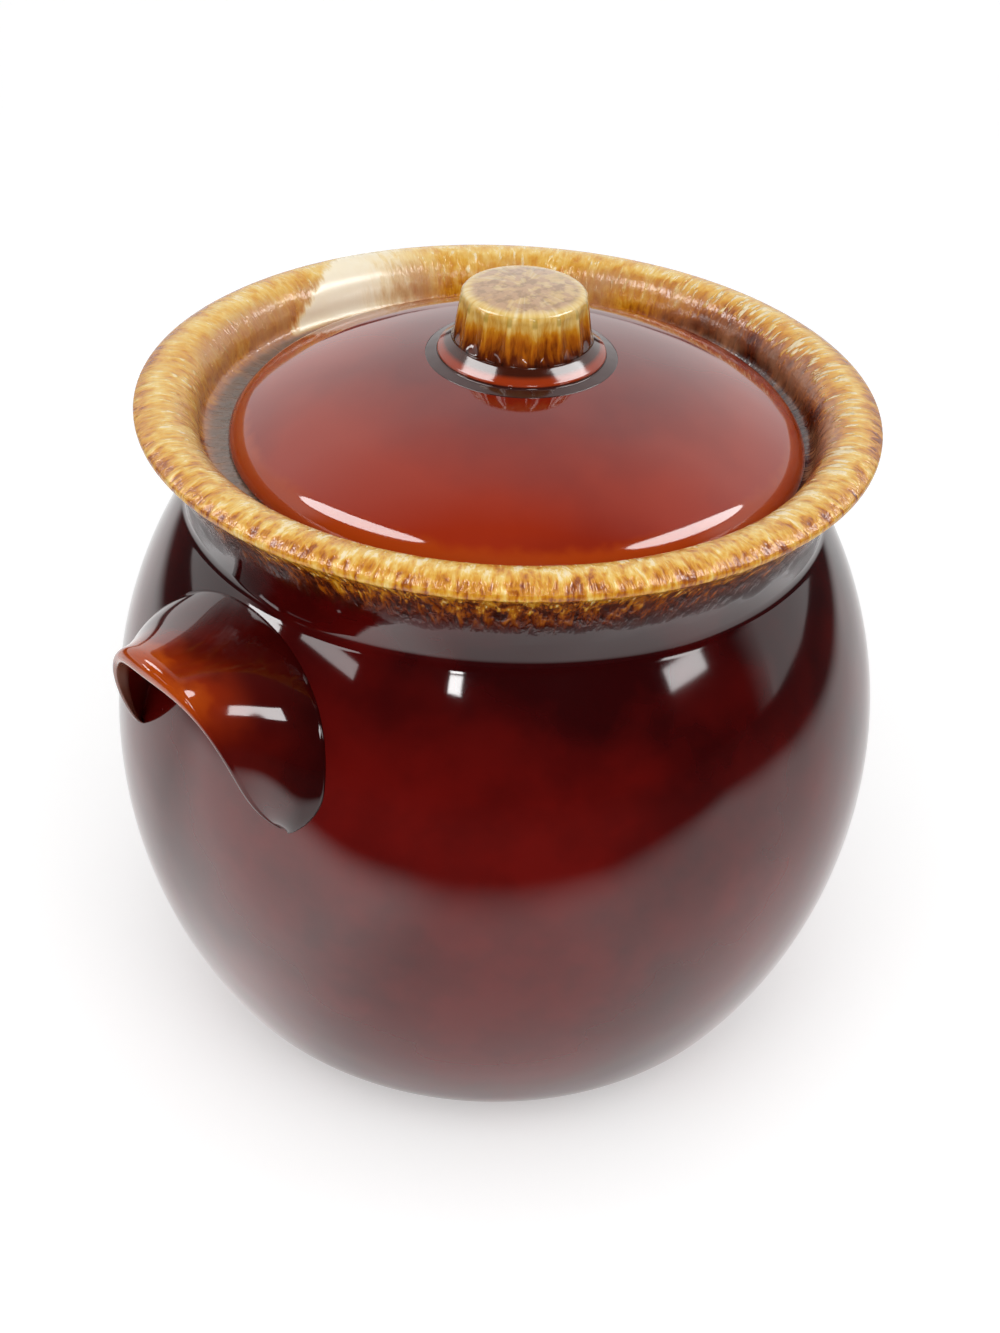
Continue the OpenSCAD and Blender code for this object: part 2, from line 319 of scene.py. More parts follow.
class Graph:
    """Adds nodes to one node tree and wires them."""

    def __init__(self, tree: bpy.types.NodeTree) -> None:
        """Takes the tree that it adds to."""
        self.tree = tree

    def node(self, kind: str, feeds: dict[str | int, Feed] | None = None,
             **settings: object) -> bpy.types.Node:
        """Adds a node.

        Args:
            kind: The node's type.
            feeds: What goes into each of its sockets: another socket, or a value.
            settings: The node's own settings.

        Returns:
            The node.
        """
        made = self.tree.nodes.new(kind)
        for name, value in settings.items():
            setattr(made, name, value)
        for socket, value in (feeds or {}).items():
            self.feed(made.inputs[socket], value)
        return made

    def feed(self, socket: bpy.types.NodeSocket, value: Feed) -> None:
        """Links a socket into another, or sets its value.

        Args:
            socket: The socket that is fed.
            value: Another socket, or a value.
        """
        if isinstance(value, bpy.types.NodeSocket):
            self.tree.links.new(value, socket)
        else:
            socket.default_value = value

    def maths(self, operation: str, first: Feed, second: Feed = 0.0) -> bpy.types.NodeSocket:
        """The result of one sum."""
        return self.node("ShaderNodeMath", {0: first, 1: second}, operation=operation).outputs[0]

    def remap(self, value: Feed, low: float, high: float, to_low: float = 0.0, to_high: float = 1.0,
              smooth: bool = True) -> bpy.types.NodeSocket:
        """A value eased from one range to another, held at the ends.

        Args:
            value: What is eased.
            low: Start of its range.
            high: End of its range.
            to_low: Result at the start.
            to_high: Result at the end.
            smooth: Whether the ends are eased.

        Returns:
            The eased value.
        """
        kind = "SMOOTHSTEP" if smooth else "LINEAR"
        feeds = {"Value": value, "From Min": low, "From Max": high, "To Min": to_low, "To Max": to_high}
        return self.node("ShaderNodeMapRange", feeds, interpolation_type=kind).outputs[0]

    def tones(self, value: Feed, stops: Sequence[tuple[float, Sequence[float]]]) -> bpy.types.NodeSocket:
        """A colour picked along a row of colours.

        Args:
            value: Place along the row, 0 to 1.
            stops: Places and their colours.

        Returns:
            The colour.
        """
        made = self.node("ShaderNodeValToRGB", {0: value})
        ramp = made.color_ramp
        while len(ramp.elements) < len(stops):
            ramp.elements.new(1.0)
        for element, (place, colour) in zip(ramp.elements, stops):
            element.position = place
            element.color = (*colour, 1.0)
        return made.outputs[0]

    def level(self, value: Feed, low: float, high: float,
              stops: Sequence[tuple[float, float]]) -> bpy.types.NodeSocket:
        """A value read off a bent line.

        Args:
            value: Place along the line.
            low: Start of the line.
            high: End of the line.
            stops: Places between low and high, and the values there.

        Returns:
            The value.
        """
        place = self.remap(value, low, high, smooth=False)
        return self.tones(place, [((at - low) / (high - low), (tone,) * 3) for at, tone in stops])

    def blend(self, share: Feed, first: Feed, second: Feed) -> bpy.types.NodeSocket:
        """Mixes two colours.

        Args:
            share: Share of the second colour, 0 to 1.
            first: The first colour.
            second: The second colour.

        Returns:
            The mixed colour.
        """
        feeds = {0: share, 6: (*first, 1.0) if isinstance(first, tuple) else first,
                 7: (*second, 1.0) if isinstance(second, tuple) else second}
        return self.node("ShaderNodeMix", feeds, data_type="RGBA").outputs[2]

    def carried(self, name: str) -> bpy.types.NodeSocket:
        """A value that the mesh's points carry."""
        return self.node("ShaderNodeAttribute", attribute_name=name).outputs["Fac"]

    def noise(self, place: Feed, scale: Feed, detail: float, rough: float = 0.5,
              waver: Feed = 0.0) -> bpy.types.NodeSocket:
        """Soft noise at a place."""
        feeds = {"Vector": place, "Scale": scale, "Detail": detail, "Roughness": rough, "Distortion": waver}
        return self.node("ShaderNodeTexNoise", feeds).outputs[0]

    def off_middle(self, value: Feed, share: Feed) -> bpy.types.NodeSocket:
        """A share of how far a value lies from its middle of one half."""
        return self.maths("MULTIPLY", self.maths("SUBTRACT", value, 0.5), share)

    def own(self) -> bpy.types.NodeSocket:
        """A place in the piece's own frame."""
        return self.node("ShaderNodeTexCoord").outputs["Object"]

    def outward(self) -> bpy.types.NodeSocket:
        """The level direction of a place from the piece's axis, of unit length."""
        flat = self.node("ShaderNodeVectorMath", {0: self.own(), 1: (1.0, 1.0, 0.0)}, operation="MULTIPLY")
        return self.node("ShaderNodeVectorMath", {0: flat.outputs[0]}, operation="NORMALIZE").outputs[0]

    def along(self, place: Feed, way: Sequence[float]) -> bpy.types.NodeSocket:
        """How far a place lies along a direction."""
        feeds = {0: place, 1: tuple(way)}
        return self.node("ShaderNodeVectorMath", feeds, operation="DOT_PRODUCT").outputs["Value"]

    def total(self, *values: Feed) -> bpy.types.NodeSocket:
        """The sum of several values."""
        return reduce(lambda so_far, value: self.maths("ADD", so_far, value), values)

    def product(self, *values: Feed) -> bpy.types.NodeSocket:
        """The product of several values."""
        return reduce(lambda so_far, value: self.maths("MULTIPLY", so_far, value), values)


class Effects:
    """The effects that several finishes share, each a node group built once."""

    def __init__(self) -> None:
        """Builds every group."""
        self.streaks = self.build_streaks()
        self.cloud = self.build_cloud()
        self.ripple = self.build_ripple()
        self.specks = self.build_specks()

    def start(self, name: str, inputs: dict[str, float],
              output: str) -> tuple[Graph, bpy.types.Node, bpy.types.Node]:
        """Opens a group with its sockets.

        Args:
            name: The group's name.
            inputs: Its inputs and their usual values.
            output: Its one output, a value.

        Returns:
            The graph of the group, its input node and its output node.
        """
        tree = bpy.data.node_groups.new(name, "ShaderNodeTree")
        for label, usual in inputs.items():
            socket = tree.interface.new_socket(name=label, in_out="INPUT", socket_type="NodeSocketFloat")
            socket.default_value = usual
        tree.interface.new_socket(name=output, in_out="OUTPUT", socket_type="NodeSocketFloat")
        graph = Graph(tree)
        return graph, graph.node("NodeGroupInput"), graph.node("NodeGroupOutput")

    def build_streaks(self) -> bpy.types.NodeTree:
        """Streaks that run with the glaze, straight away from the axis and down.

        Returns:
            The group: run in metres, the streaks' width, length and radius in millimetres and their waver,
            to a value.
        """
        usual = {"Run": 0.0, "Width": 1.0, "Length": 5.0, "Radius": 77.0, "Waver": 0.0}
        graph, inner, outer = self.start("glaze_streaks", usual, "Streak")
        across = graph.maths("DIVIDE", inner.outputs["Radius"], inner.outputs["Width"])
        feeds = {0: graph.outward(), "Scale": across}
        spread = graph.node("ShaderNodeVectorMath", feeds, operation="SCALE").outputs[0]
        run = graph.maths("MULTIPLY", inner.outputs["Run"], 1000.0)
        down = graph.maths("DIVIDE", run, inner.outputs["Length"])
        lift = graph.node("ShaderNodeCombineXYZ", {"Z": down}).outputs[0]
        place = graph.node("ShaderNodeVectorMath", {0: spread, 1: lift}, operation="ADD").outputs[0]
        graph.feed(outer.inputs[0], graph.noise(place, 1.0, 3.0, 0.55, inner.outputs["Waver"]))
        return graph.tree

    def build_cloud(self) -> bpy.types.NodeTree:
        """Broad drifts where a glaze lies thicker or thinner.

        Returns:
            The group: the drifts' size in millimetres, to a value.
        """
        graph, inner, outer = self.start("glaze_cloud", {"Size": 40.0}, "Cloud")
        own = graph.own()
        scale = graph.maths("DIVIDE", 1000.0, inner.outputs["Size"])
        graph.feed(outer.inputs[0], graph.remap(graph.noise(own, scale, 3.0, 0.5), 0.32, 0.68))
        return graph.tree

    def build_ripple(self) -> bpy.types.NodeTree:
        """The slight waviness of a melted glaze.

        Returns:
            The group: the waves' size in millimetres, to a height.
        """
        graph, inner, outer = self.start("glaze_ripple", {"Size": 9.0}, "Height")
        own = graph.own()
        scale = graph.maths("DIVIDE", 1000.0, inner.outputs["Size"])
        graph.feed(outer.inputs[0], graph.noise(own, scale, 1.0, 0.4))
        return graph.tree

    def build_specks(self) -> bpy.types.NodeTree:
        """Scattered round specks, such as iron spots and pinholes.

        Returns:
            The group: the specks' spacing in millimetres and their share of it, to a mask.
        """
        graph, inner, outer = self.start("clay_specks", {"Spacing": 3.0, "Share": 0.2}, "Speck")
        own = graph.own()
        scale = graph.maths("DIVIDE", 1000.0, inner.outputs["Spacing"])
        cells = graph.node("ShaderNodeTexVoronoi", {"Vector": own, "Scale": scale, "Randomness": 1.0})
        lot = graph.node("ShaderNodeSeparateColor", {0: cells.outputs["Color"]}).outputs[0]
        size = graph.maths("MULTIPLY", lot, inner.outputs["Share"])
        inside = graph.maths("SUBTRACT", size, cells.outputs["Distance"])
        graph.feed(outer.inputs[0], graph.remap(inside, 0.0, 0.05))
        return graph.tree


@dataclass(frozen=True)
class Finish:
    """What all finishes share: a clay body under a surface of one gloss."""

    effects: Effects
    name: str = "finish"
    index: float = 1.5

    def use(self, graph: Graph, group: bpy.types.NodeTree, feeds: dict[str, Feed]) -> bpy.types.NodeSocket:
        """Places a shared effect in a material with its own values."""
        return graph.node("ShaderNodeGroup", feeds, node_tree=group).outputs[0]

    def cloud(self, graph: Graph, size: float) -> bpy.types.NodeSocket:
        """Drifts of one size."""
        return self.use(graph, self.effects.cloud, {"Size": size})

    def ripple(self, graph: Graph, size: float) -> bpy.types.NodeSocket:
        """Waves of one size."""
        return self.use(graph, self.effects.ripple, {"Size": size})

    def streaks(self, graph: Graph, run: Feed, size: tuple[float, float], radius: float,
                waver: float = 0.0) -> bpy.types.NodeSocket:
        """Streaks of one width and length round an axis."""
        feeds = {"Run": run, "Width": size[0], "Length": size[1], "Radius": radius, "Waver": waver}
        return self.use(graph, self.effects.streaks, feeds)

    def specks(self, graph: Graph, spacing: float, share: float) -> bpy.types.NodeSocket:
        """Specks at one spacing."""
        return self.use(graph, self.effects.specks, {"Spacing": spacing, "Share": share})

    def roughness(self, graph: Graph, size: float, low: float, spread: float = 0.03) -> bpy.types.NodeSocket:
        """Roughness that drifts a little from place to place."""
        return graph.remap(self.cloud(graph, size), 0.0, 1.0, low, low + spread)

    def start(self) -> tuple[bpy.types.Material, Graph, bpy.types.Node]:
        """Opens the material.

        Returns:
            The material, its graph and its surface shader.
        """
        material = bpy.data.materials.new(self.name)
        material.use_nodes = True
        graph = Graph(material.node_tree)
        shader = material.node_tree.nodes["Principled BSDF"]
        shader.inputs["IOR"].default_value = self.index
        return material, graph, shader

    def bump(self, graph: Graph, shader: bpy.types.Node, height: Feed, depth: float) -> None:
        """Gives the surface a relief.

        Args:
            graph: The material's graph.
            shader: Its surface shader.
            height: The relief, 0 to 1.
            depth: Its depth in millimetres.
        """
        relief = graph.node("ShaderNodeBump", {"Strength": 1.0, "Distance": depth * MM, "Height": height})
        graph.feed(shader.inputs["Normal"], relief.outputs[0])


@dataclass(frozen=True)
class DarkGlaze(Finish):
    """Deep red-brown glaze over the pot's outside and inside."""

    name: str = "dark_red_glaze"
    deep: Colour = (0.026, 0.0010, 0.0014)
    warm: Colour = (0.126, 0.0036, 0.0025)
    inside: Colour = (0.105, 0.017, 0.007)
    gloss: float = 0.05

    def colour(self, graph: Graph, run: Feed) -> bpy.types.NodeSocket:
        """The glaze's colour: darker under the rim, warmer down the belly, browner inside.

        Args:
            graph: The material's graph.
            run: How far the glaze has run from the rim's crown, in metres.

        Returns:
            The colour.
        """
        depth = graph.remap(run, 0.031, 0.075, 0.12, 0.66)
        drift = graph.off_middle(self.cloud(graph, 42.0), 0.55)
        patch = graph.off_middle(self.cloud(graph, 13.0), 0.26)
        warmth = graph.remap(graph.total(depth, drift, patch), 0.0, 1.0, smooth=False)
        toned = graph.blend(warmth, self.deep, self.warm)
        return graph.blend(graph.remap(run, -0.016, -0.024), toned, self.inside)

    def material(self) -> bpy.types.Material:
        """Builds the finish.

        Returns:
            The material.
        """
        material, graph, shader = self.start()
        graph.feed(shader.inputs["Base Color"], self.colour(graph, graph.carried("run")))
        pits = self.specks(graph, 7.0, 0.07)
        rough = graph.total(self.roughness(graph, 30.0, self.gloss), graph.maths("MULTIPLY", pits, 0.25))
        graph.feed(shader.inputs["Roughness"], rough)
        wave = self.ripple(graph, 22.0)
        self.bump(graph, shader, graph.maths("SUBTRACT", wave, graph.maths("MULTIPLY", pits, 0.08)), 0.25)
        return material


@dataclass(frozen=True)
class DripGlaze(DarkGlaze):
    """Ivory and amber glaze that has run down from the rim over the dark glaze."""

    name: str = "ivory_drip_glaze"
    tints: tuple[tuple[float, Colour], ...] = (
        (0.00, (0.030, 0.0040, 0.0020)),
        (0.20, (0.130, 0.0190, 0.0022)),
        (0.38, (0.360, 0.0900, 0.0040)),
        (0.54, (0.620, 0.2400, 0.0070)),
        (0.70, (0.745, 0.3950, 0.0420)),
        (0.86, (0.835, 0.5750, 0.1600)),
        (1.00, (0.900, 0.7350, 0.4500)),
    )
    levels: tuple[tuple[float, float], ...] = (
        (-0.0230, 0.08), (-0.0190, 0.16), (-0.0165, 0.28), (-0.0145, 0.44), (-0.0125, 0.53), (-0.0100, 0.60),
        (-0.0060, 0.67), (-0.0030, 0.73), (0.0006, 0.79), (0.0024, 0.69), (0.0036, 0.56), (0.0052, 0.53),
        (0.0062, 0.55), (0.0074, 0.57), (0.0084, 0.44), (0.0110, 0.33), (0.0150, 0.25), (0.0195, 0.15),
        (0.0228, 0.05), (0.0270, 0.00),
    )
    # Pinkish tan of the rim's inner wall: the glaze's tan with a painted veil of reflected panel light.
    painted_veil_tan: Colour = (0.470, 0.2150, 0.1050)
    cream: Colour = (0.950, 0.8700, 0.7000)
    # Painted shade: the dark grey of the lid well's ledge, standing for shade and dull reflection beside the
    # lid.
    painted_well_shade: Colour = (0.150, 0.1150, 0.0850)
    heavy_side: tuple[float, float, float] = (-0.66, -0.75, 0.0)
    thin_side: tuple[float, float, float] = (0.875, -0.485, 0.0)
    pale_from: float = 1.02
    pale_to: float = 1.425
    pale_slant: float = 18.0
    radius: float = 77.0
    sheen: float = 0.28

    def turned_to(self, graph: Graph, way: tuple[float, float, float]) -> bpy.types.NodeSocket:
        """How far a place round the rim lies towards one side, -1 to 1."""
        return graph.along(graph.outward(), way)

    def thin_share(self, graph: Graph) -> bpy.types.NodeSocket:
        """A mask of the side where the pale glaze has hardly run into the lid well."""
        return graph.remap(self.turned_to(graph, self.thin_side), 0.60, 0.88)

    def thickness(self, graph: Graph, run: bpy.types.NodeSocket,
                  inward: bpy.types.NodeSocket) -> bpy.types.NodeSocket:
        """How thick the pale glaze lies, from the crown down, with painted glints added on the inner wall.

        Args:
            graph: The material's graph.
            run: How far the glaze has run, in metres.
            inward: The same, drawn together on the side where it stops short inside.

        Returns:
            0 where there is none, 1 where it is ivory.
        """
        level = graph.level(inward, -0.023, 0.03, self.levels)
        side = self.turned_to(graph, self.heavy_side)
        lively = graph.product(graph.remap(side, -0.3, 0.8, 0.75, 1.1), graph.remap(run, 0.025, 0.017))
        blots = graph.off_middle(self.streaks(graph, run, (6.5, 7.0), self.radius, 0.8), 0.75)
        runs = graph.off_middle(self.streaks(graph, run, (2.1, 4.2), self.radius, 0.5),
                                graph.remap(run, -0.006, 0.002, 0.75, 1.0))
        fine = graph.off_middle(self.streaks(graph, run, (0.75, 3.6), self.radius, 0.3),
                                graph.remap(run, -0.003, 0.003, 0.40, 0.55))
        tick = graph.remap(self.streaks(graph, run, (1.0, 3.4), self.radius, 0.2), 0.55, 0.68)
        ticks = graph.product(tick, graph.remap(run, 0.0078, 0.0092, 0.0, 0.46),
                              graph.remap(run, 0.019, 0.012))
        # Painted highlights: pale dashes on the inner wall, where the bright panels glint on the bumpy runs.
        painted_glint = graph.remap(self.streaks(graph, run, (1.5, 4.4), self.radius, 0.1), 0.58, 0.70)
        painted_glints = graph.product(painted_glint, graph.remap(run, -0.0118, -0.0090),
                               graph.remap(run, -0.0005, -0.0030, 0.0, 0.34))
        lick = graph.remap(self.streaks(graph, run, (1.4, 5.5), self.radius, 0.1), 0.52, 0.64)
        licks = graph.product(lick, graph.remap(run, -0.0075, -0.0060),
                              graph.remap(run, 0.0015, -0.0010, 0.0, 0.62), self.thin_share(graph))
        return graph.total(level, licks, graph.product(graph.total(blots, runs, fine, ticks, painted_glints), lively))

    def pale_patch(self, graph: Graph, run: bpy.types.NodeSocket) -> bpy.types.NodeSocket:
        """A mask of the stretch of rim where the ivory lies broad and smooth.

        Args:
            graph: The material's graph.
            run: How far the glaze has run, in metres.

        Returns:
            1 within the stretch, 0 outside it.
        """
        parts = graph.node("ShaderNodeSeparateXYZ", {0: graph.outward()})
        angle = graph.maths("ARCTAN2", parts.outputs["Y"], parts.outputs["X"])
        ragged = graph.off_middle(self.streaks(graph, run, (1.6, 5.0), self.radius), 0.10)
        slant = graph.total(angle, graph.maths("MULTIPLY", run, self.pale_slant), ragged)
        fading = graph.total(angle, graph.maths("MULTIPLY", ragged, 2.2))
        width = graph.product(graph.remap(slant, self.pale_to + 0.03, self.pale_to - 0.03),
                              graph.remap(fading, self.pale_from, self.pale_from + 0.40))
        return graph.product(width, graph.remap(run, -0.0165, -0.0140), graph.remap(run, 0.006, 0.003))

    def material(self) -> bpy.types.Material:
        """Builds the finish.

        Returns:
            The material.
        """
        material, graph, shader = self.start()
        run = graph.carried("run")
        drawn_back = graph.product(self.thin_share(graph), graph.remap(run, 0.0015, -0.0050, 0.0, 0.0084))
        inward = graph.maths("SUBTRACT", run, drawn_back)
        thick = self.thickness(graph, run, inward)
        patch = self.pale_patch(graph, run)
        even = graph.remap(self.cloud(graph, 12.0), 0.0, 1.0, 0.93, 1.04)
        smooth = graph.blend(graph.maths("MULTIPLY", patch, 0.94), thick, even)
        pale = graph.tones(smooth, self.tints)
        pale = graph.blend(graph.maths("MULTIPLY", patch, 0.75), pale, self.cream)
        # Painted reflection: a pinkish veil of the bright panels laid over the tan of the inner wall, except
        # on the pale patch.
        inner = graph.product(graph.remap(run, -0.002, -0.007), graph.remap(run, -0.0185, -0.0150),
                              self.cloud(graph, 15.0), graph.remap(patch, 0.0, 1.0, 0.78, 0.0))
        pale = graph.blend(inner, pale, self.painted_veil_tan)
        # Painted shade and grey reflection on the lid well's ledge, next to the lid's edge.
        pale = graph.blend(graph.remap(run, -0.0140, -0.0172, 0.0, 0.75), pale, self.painted_well_shade)
        ragged = graph.off_middle(self.streaks(graph, run, (1.6, 12.0), self.radius), 0.010)
        edge = graph.maths("ADD", inward, ragged)
        cover = graph.product(graph.remap(edge, 0.0245, 0.0185), graph.remap(edge, -0.0250, -0.0205))
        graph.feed(shader.inputs["Base Color"], graph.blend(cover, self.colour(graph, run), pale))
        graph.feed(shader.inputs["Roughness"], graph.remap(smooth, 0.0, 1.0, self.gloss, self.sheen))
        relief = graph.total(self.ripple(graph, 12.0), graph.maths("MULTIPLY", smooth, 1.1))
        self.bump(graph, shader, relief, 0.45)
        return material


@dataclass(frozen=True)
class LidGlaze(Finish):
    """Lighter red-brown glaze of the lid, rust-orange where it thins on the edge."""

    name: str = "lid_red_glaze"
    deep: Colour = (0.150, 0.0070, 0.0035)
    warm: Colour = (0.300, 0.0210, 0.0035)
    edge: Colour = (0.360, 0.0420, 0.0030)
    # Painted shade: the lid's edge below its widest, dark as the recess that it hangs into.
    under: Colour = (0.060, 0.0080, 0.0035)
    gloss: float = 0.05

    def material(self) -> bpy.types.Material:
        """Builds the finish.

        Returns:
            The material.
        """
        material, graph, shader = self.start()
        run = graph.carried("run")
        sway = graph.off_middle(self.cloud(graph, 38.0), 0.7)
        share = graph.maths("ADD", graph.remap(run, -0.046, -0.012), sway)
        drift = graph.blend(graph.remap(share, -0.1, 1.1, smooth=False), self.deep, self.warm)
        jitter = graph.off_middle(self.cloud(graph, 5.0), 0.0012)
        place = graph.maths("ADD", run, jitter)
        band = graph.product(graph.remap(place, -0.0085, -0.0050), graph.remap(place, 0.0020, 0.0005))
        rusty = graph.blend(band, drift, self.edge)
        # Painted shade and dark reflection on the edge below its widest, where it hangs into the lid well.
        glazed = graph.blend(graph.remap(place, 0.0008, 0.0026), rusty, self.under)
        graph.feed(shader.inputs["Base Color"], glazed)
        graph.feed(shader.inputs["Roughness"], self.roughness(graph, 26.0, self.gloss))
        self.bump(graph, shader, self.ripple(graph, 20.0), 0.2)
        return material


@dataclass(frozen=True)
class ThinGlaze(Finish):
    """Glaze of the lugs: deep red at the root, thinning to rust-orange along the upper lip."""

    name: str = "lug_rust_glaze"
    deep: Colour = (0.024, 0.0010, 0.0012)
    warm: Colour = (0.095, 0.0032, 0.0016)
    rust: Colour = (0.230, 0.0170, 0.0020)
    bright: Colour = (0.410, 0.0580, 0.0035)
    rim: Colour = (0.420, 0.1900, 0.1200)
    gloss: float = 0.05

    def material(self) -> bpy.types.Material:
        """Builds the finish.

        Returns:
            The material.
        """
        material, graph, shader = self.start()
        jitter = graph.off_middle(self.cloud(graph, 10.0), 0.18)
        reach = graph.maths("ADD", graph.carried("reach"), jitter)
        lift = graph.carried("lift")
        near = graph.remap(graph.total(reach, graph.maths("MULTIPLY", lift, 0.5)), 0.2, 1.1)
        depth = graph.product(near, graph.remap(self.cloud(graph, 24.0), 0.1, 0.9, 0.55, 1.0))
        body = graph.blend(depth, self.deep, self.warm)
        high = graph.remap(lift, 0.46, 0.84)
        rusty = graph.blend(graph.product(graph.remap(reach, 0.50, 0.90), high), body, self.rust)
        thin = graph.product(graph.remap(reach, 0.84, 1.00), graph.remap(lift, 0.66, 0.92))
        orange = graph.blend(thin, rusty, self.bright)
        line = graph.product(graph.remap(graph.carried("reach"), 1.05, 1.11),
                             graph.remap(lift, 0.1, 0.5, 0.25, 0.55))
        graph.feed(shader.inputs["Base Color"], graph.blend(line, orange, self.rim))
        graph.feed(shader.inputs["Roughness"], self.roughness(graph, 12.0, self.gloss))
        self.bump(graph, shader, self.ripple(graph, 14.0), 0.2)
        return material


@dataclass(frozen=True)
class KnobGlaze(Finish):
    """Ivory glaze of the knob, run off into amber in the flutes and brown at the base."""

    name: str = "knob_ivory_glaze"
    tints: tuple[tuple[float, Colour], ...] = (
        (0.00, (0.030, 0.0050, 0.0020)),
        (0.18, (0.110, 0.0160, 0.0020)),
        (0.38, (0.400, 0.1000, 0.0030)),
        (0.55, (0.580, 0.2300, 0.0100)),
        (0.70, (0.680, 0.4100, 0.0900)),
        (0.86, (0.800, 0.5800, 0.2200)),
        (1.00, (0.880, 0.7300, 0.4300)),
    )
    levels: tuple[tuple[float, float], ...] = (
        # The near-black stops just under the skirt's lower edge are the dark base glaze with painted shade in
        # the waist.
        (-0.0050, 0.26), (-0.0030, 0.22), (-0.0012, 0.04), (0.0002, 0.05), (0.0009, 0.15), (0.0026, 0.27),
        (0.0048, 0.37), (0.0064, 0.49), (0.0076, 0.67), (0.0090, 0.73), (0.0110, 0.77), (0.0125, 0.80),
    )
    olive: Colour = (0.400, 0.2500, 0.0300)
    dusk: Colour = (0.470, 0.2700, 0.1650)
    umber: Colour = (0.310, 0.1650, 0.1000)
    collar: Colour = (0.300, 0.0300, 0.0030)
    ring: Colour = (0.040, 0.0090, 0.0070)
    gloss: float = 0.07
    radius: float = 15.0

    def crown_colour(self, graph: Graph, glazed: Feed) -> bpy.types.NodeSocket:
        """The worn, mottled top over the glaze of the wall.

        Args:
            graph: The material's graph.
            glazed: Colour of the glaze.

        Returns:
            The colour.
        """
        top = graph.remap(graph.carried("crown"), 0.07, 0.24)
        worn = graph.blend(graph.remap(self.cloud(graph, 1.9), 0.30, 0.95), self.dusk, self.umber)
        cream = graph.product(graph.remap(self.cloud(graph, 3.0), 0.45, 0.95), 0.45)
        return graph.blend(graph.product(top, 0.85), glazed, graph.blend(cream, worn, glazed))

    def material(self) -> bpy.types.Material:
        """Builds the finish.

        Returns:
            The material.
        """
        material, graph, shader = self.start()
        rise = graph.carried("rise")
        groove = graph.carried("groove")
        level = graph.level(rise, -0.005, 0.0125, self.levels)
        ridges = graph.product(graph.remap(groove, 0.20, 0.0), graph.remap(rise, 0.0005, 0.004, 0.0, 0.10))
        pools = graph.product(graph.remap(groove, 0.30, 0.05), graph.remap(rise, 0.0080, 0.0088, 0.0, 0.70),
                              graph.remap(rise, 0.0108, 0.0100))
        skirt = graph.remap(rise, -0.0004, 0.0006)
        fine = graph.off_middle(self.streaks(graph, rise, (0.9, 4.0), self.radius, 0.3),
                                graph.maths("MULTIPLY", skirt, 0.55))
        wander = graph.off_middle(self.streaks(graph, rise, (4.0, 7.0), self.radius, 0.6),
                                  graph.maths("MULTIPLY", skirt, 0.35))
        toned = graph.tones(graph.total(level, ridges, fine, wander), self.tints)
        glazed = graph.blend(pools, toned, self.olive)
        footed = graph.blend(graph.remap(rise, -0.0011, -0.0020), glazed, self.collar)
        ringed = graph.blend(graph.remap(rise, -0.0027, -0.0031), footed, self.ring)
        graph.feed(shader.inputs["Base Color"], self.crown_colour(graph, ringed))
        graph.feed(shader.inputs["Roughness"], self.roughness(graph, 6.0, self.gloss, 0.06))
        self.bump(graph, shader, self.ripple(graph, 5.0), 0.12)
        return material


@dataclass(frozen=True)
class BareClay(Finish):
    """Unglazed fired stoneware of the foot: buff, gritty and specked with iron."""

    name: str = "bare_stoneware"
    pale: Colour = (0.440, 0.3000, 0.1750)
    dark: Colour = (0.330, 0.2000, 0.1050)
    speck: Colour = (0.100, 0.0550, 0.0300)

    def material(self) -> bpy.types.Material:
        """Builds the finish.

        Returns:
            The material.
        """
        material, graph, shader = self.start()
        body = graph.blend(self.cloud(graph, 14.0), self.pale, self.dark)
        iron = self.specks(graph, 1.6, 0.32)
        graph.feed(shader.inputs["Base Color"], graph.blend(iron, body, self.speck))
        graph.feed(shader.inputs["Roughness"], self.roughness(graph, 2.0, 0.72, 0.18))
        grit = graph.maths("SUBTRACT", self.cloud(graph, 0.8), graph.maths("MULTIPLY", iron, 0.5))
        self.bump(graph, shader, grit, 0.12)
        return material


def place_piece(piece: bpy.types.Object, body: Body, nodes: Sequence[str]) -> bpy.types.Object:
    """Sets a piece on its body in the place of its solids.

    Args:
        piece: The dressed mesh.
        body: The body that it rides on.
        nodes: The solids that it stands for.

    Returns:
        The piece.
    """
    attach(piece, body.value)
    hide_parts(*nodes)
    LOG.info("%s: %d faces, rides on %s, stands for %s", piece.name, len(piece.data.polygons), body.value,
             ", ".join(nodes))
    return piece


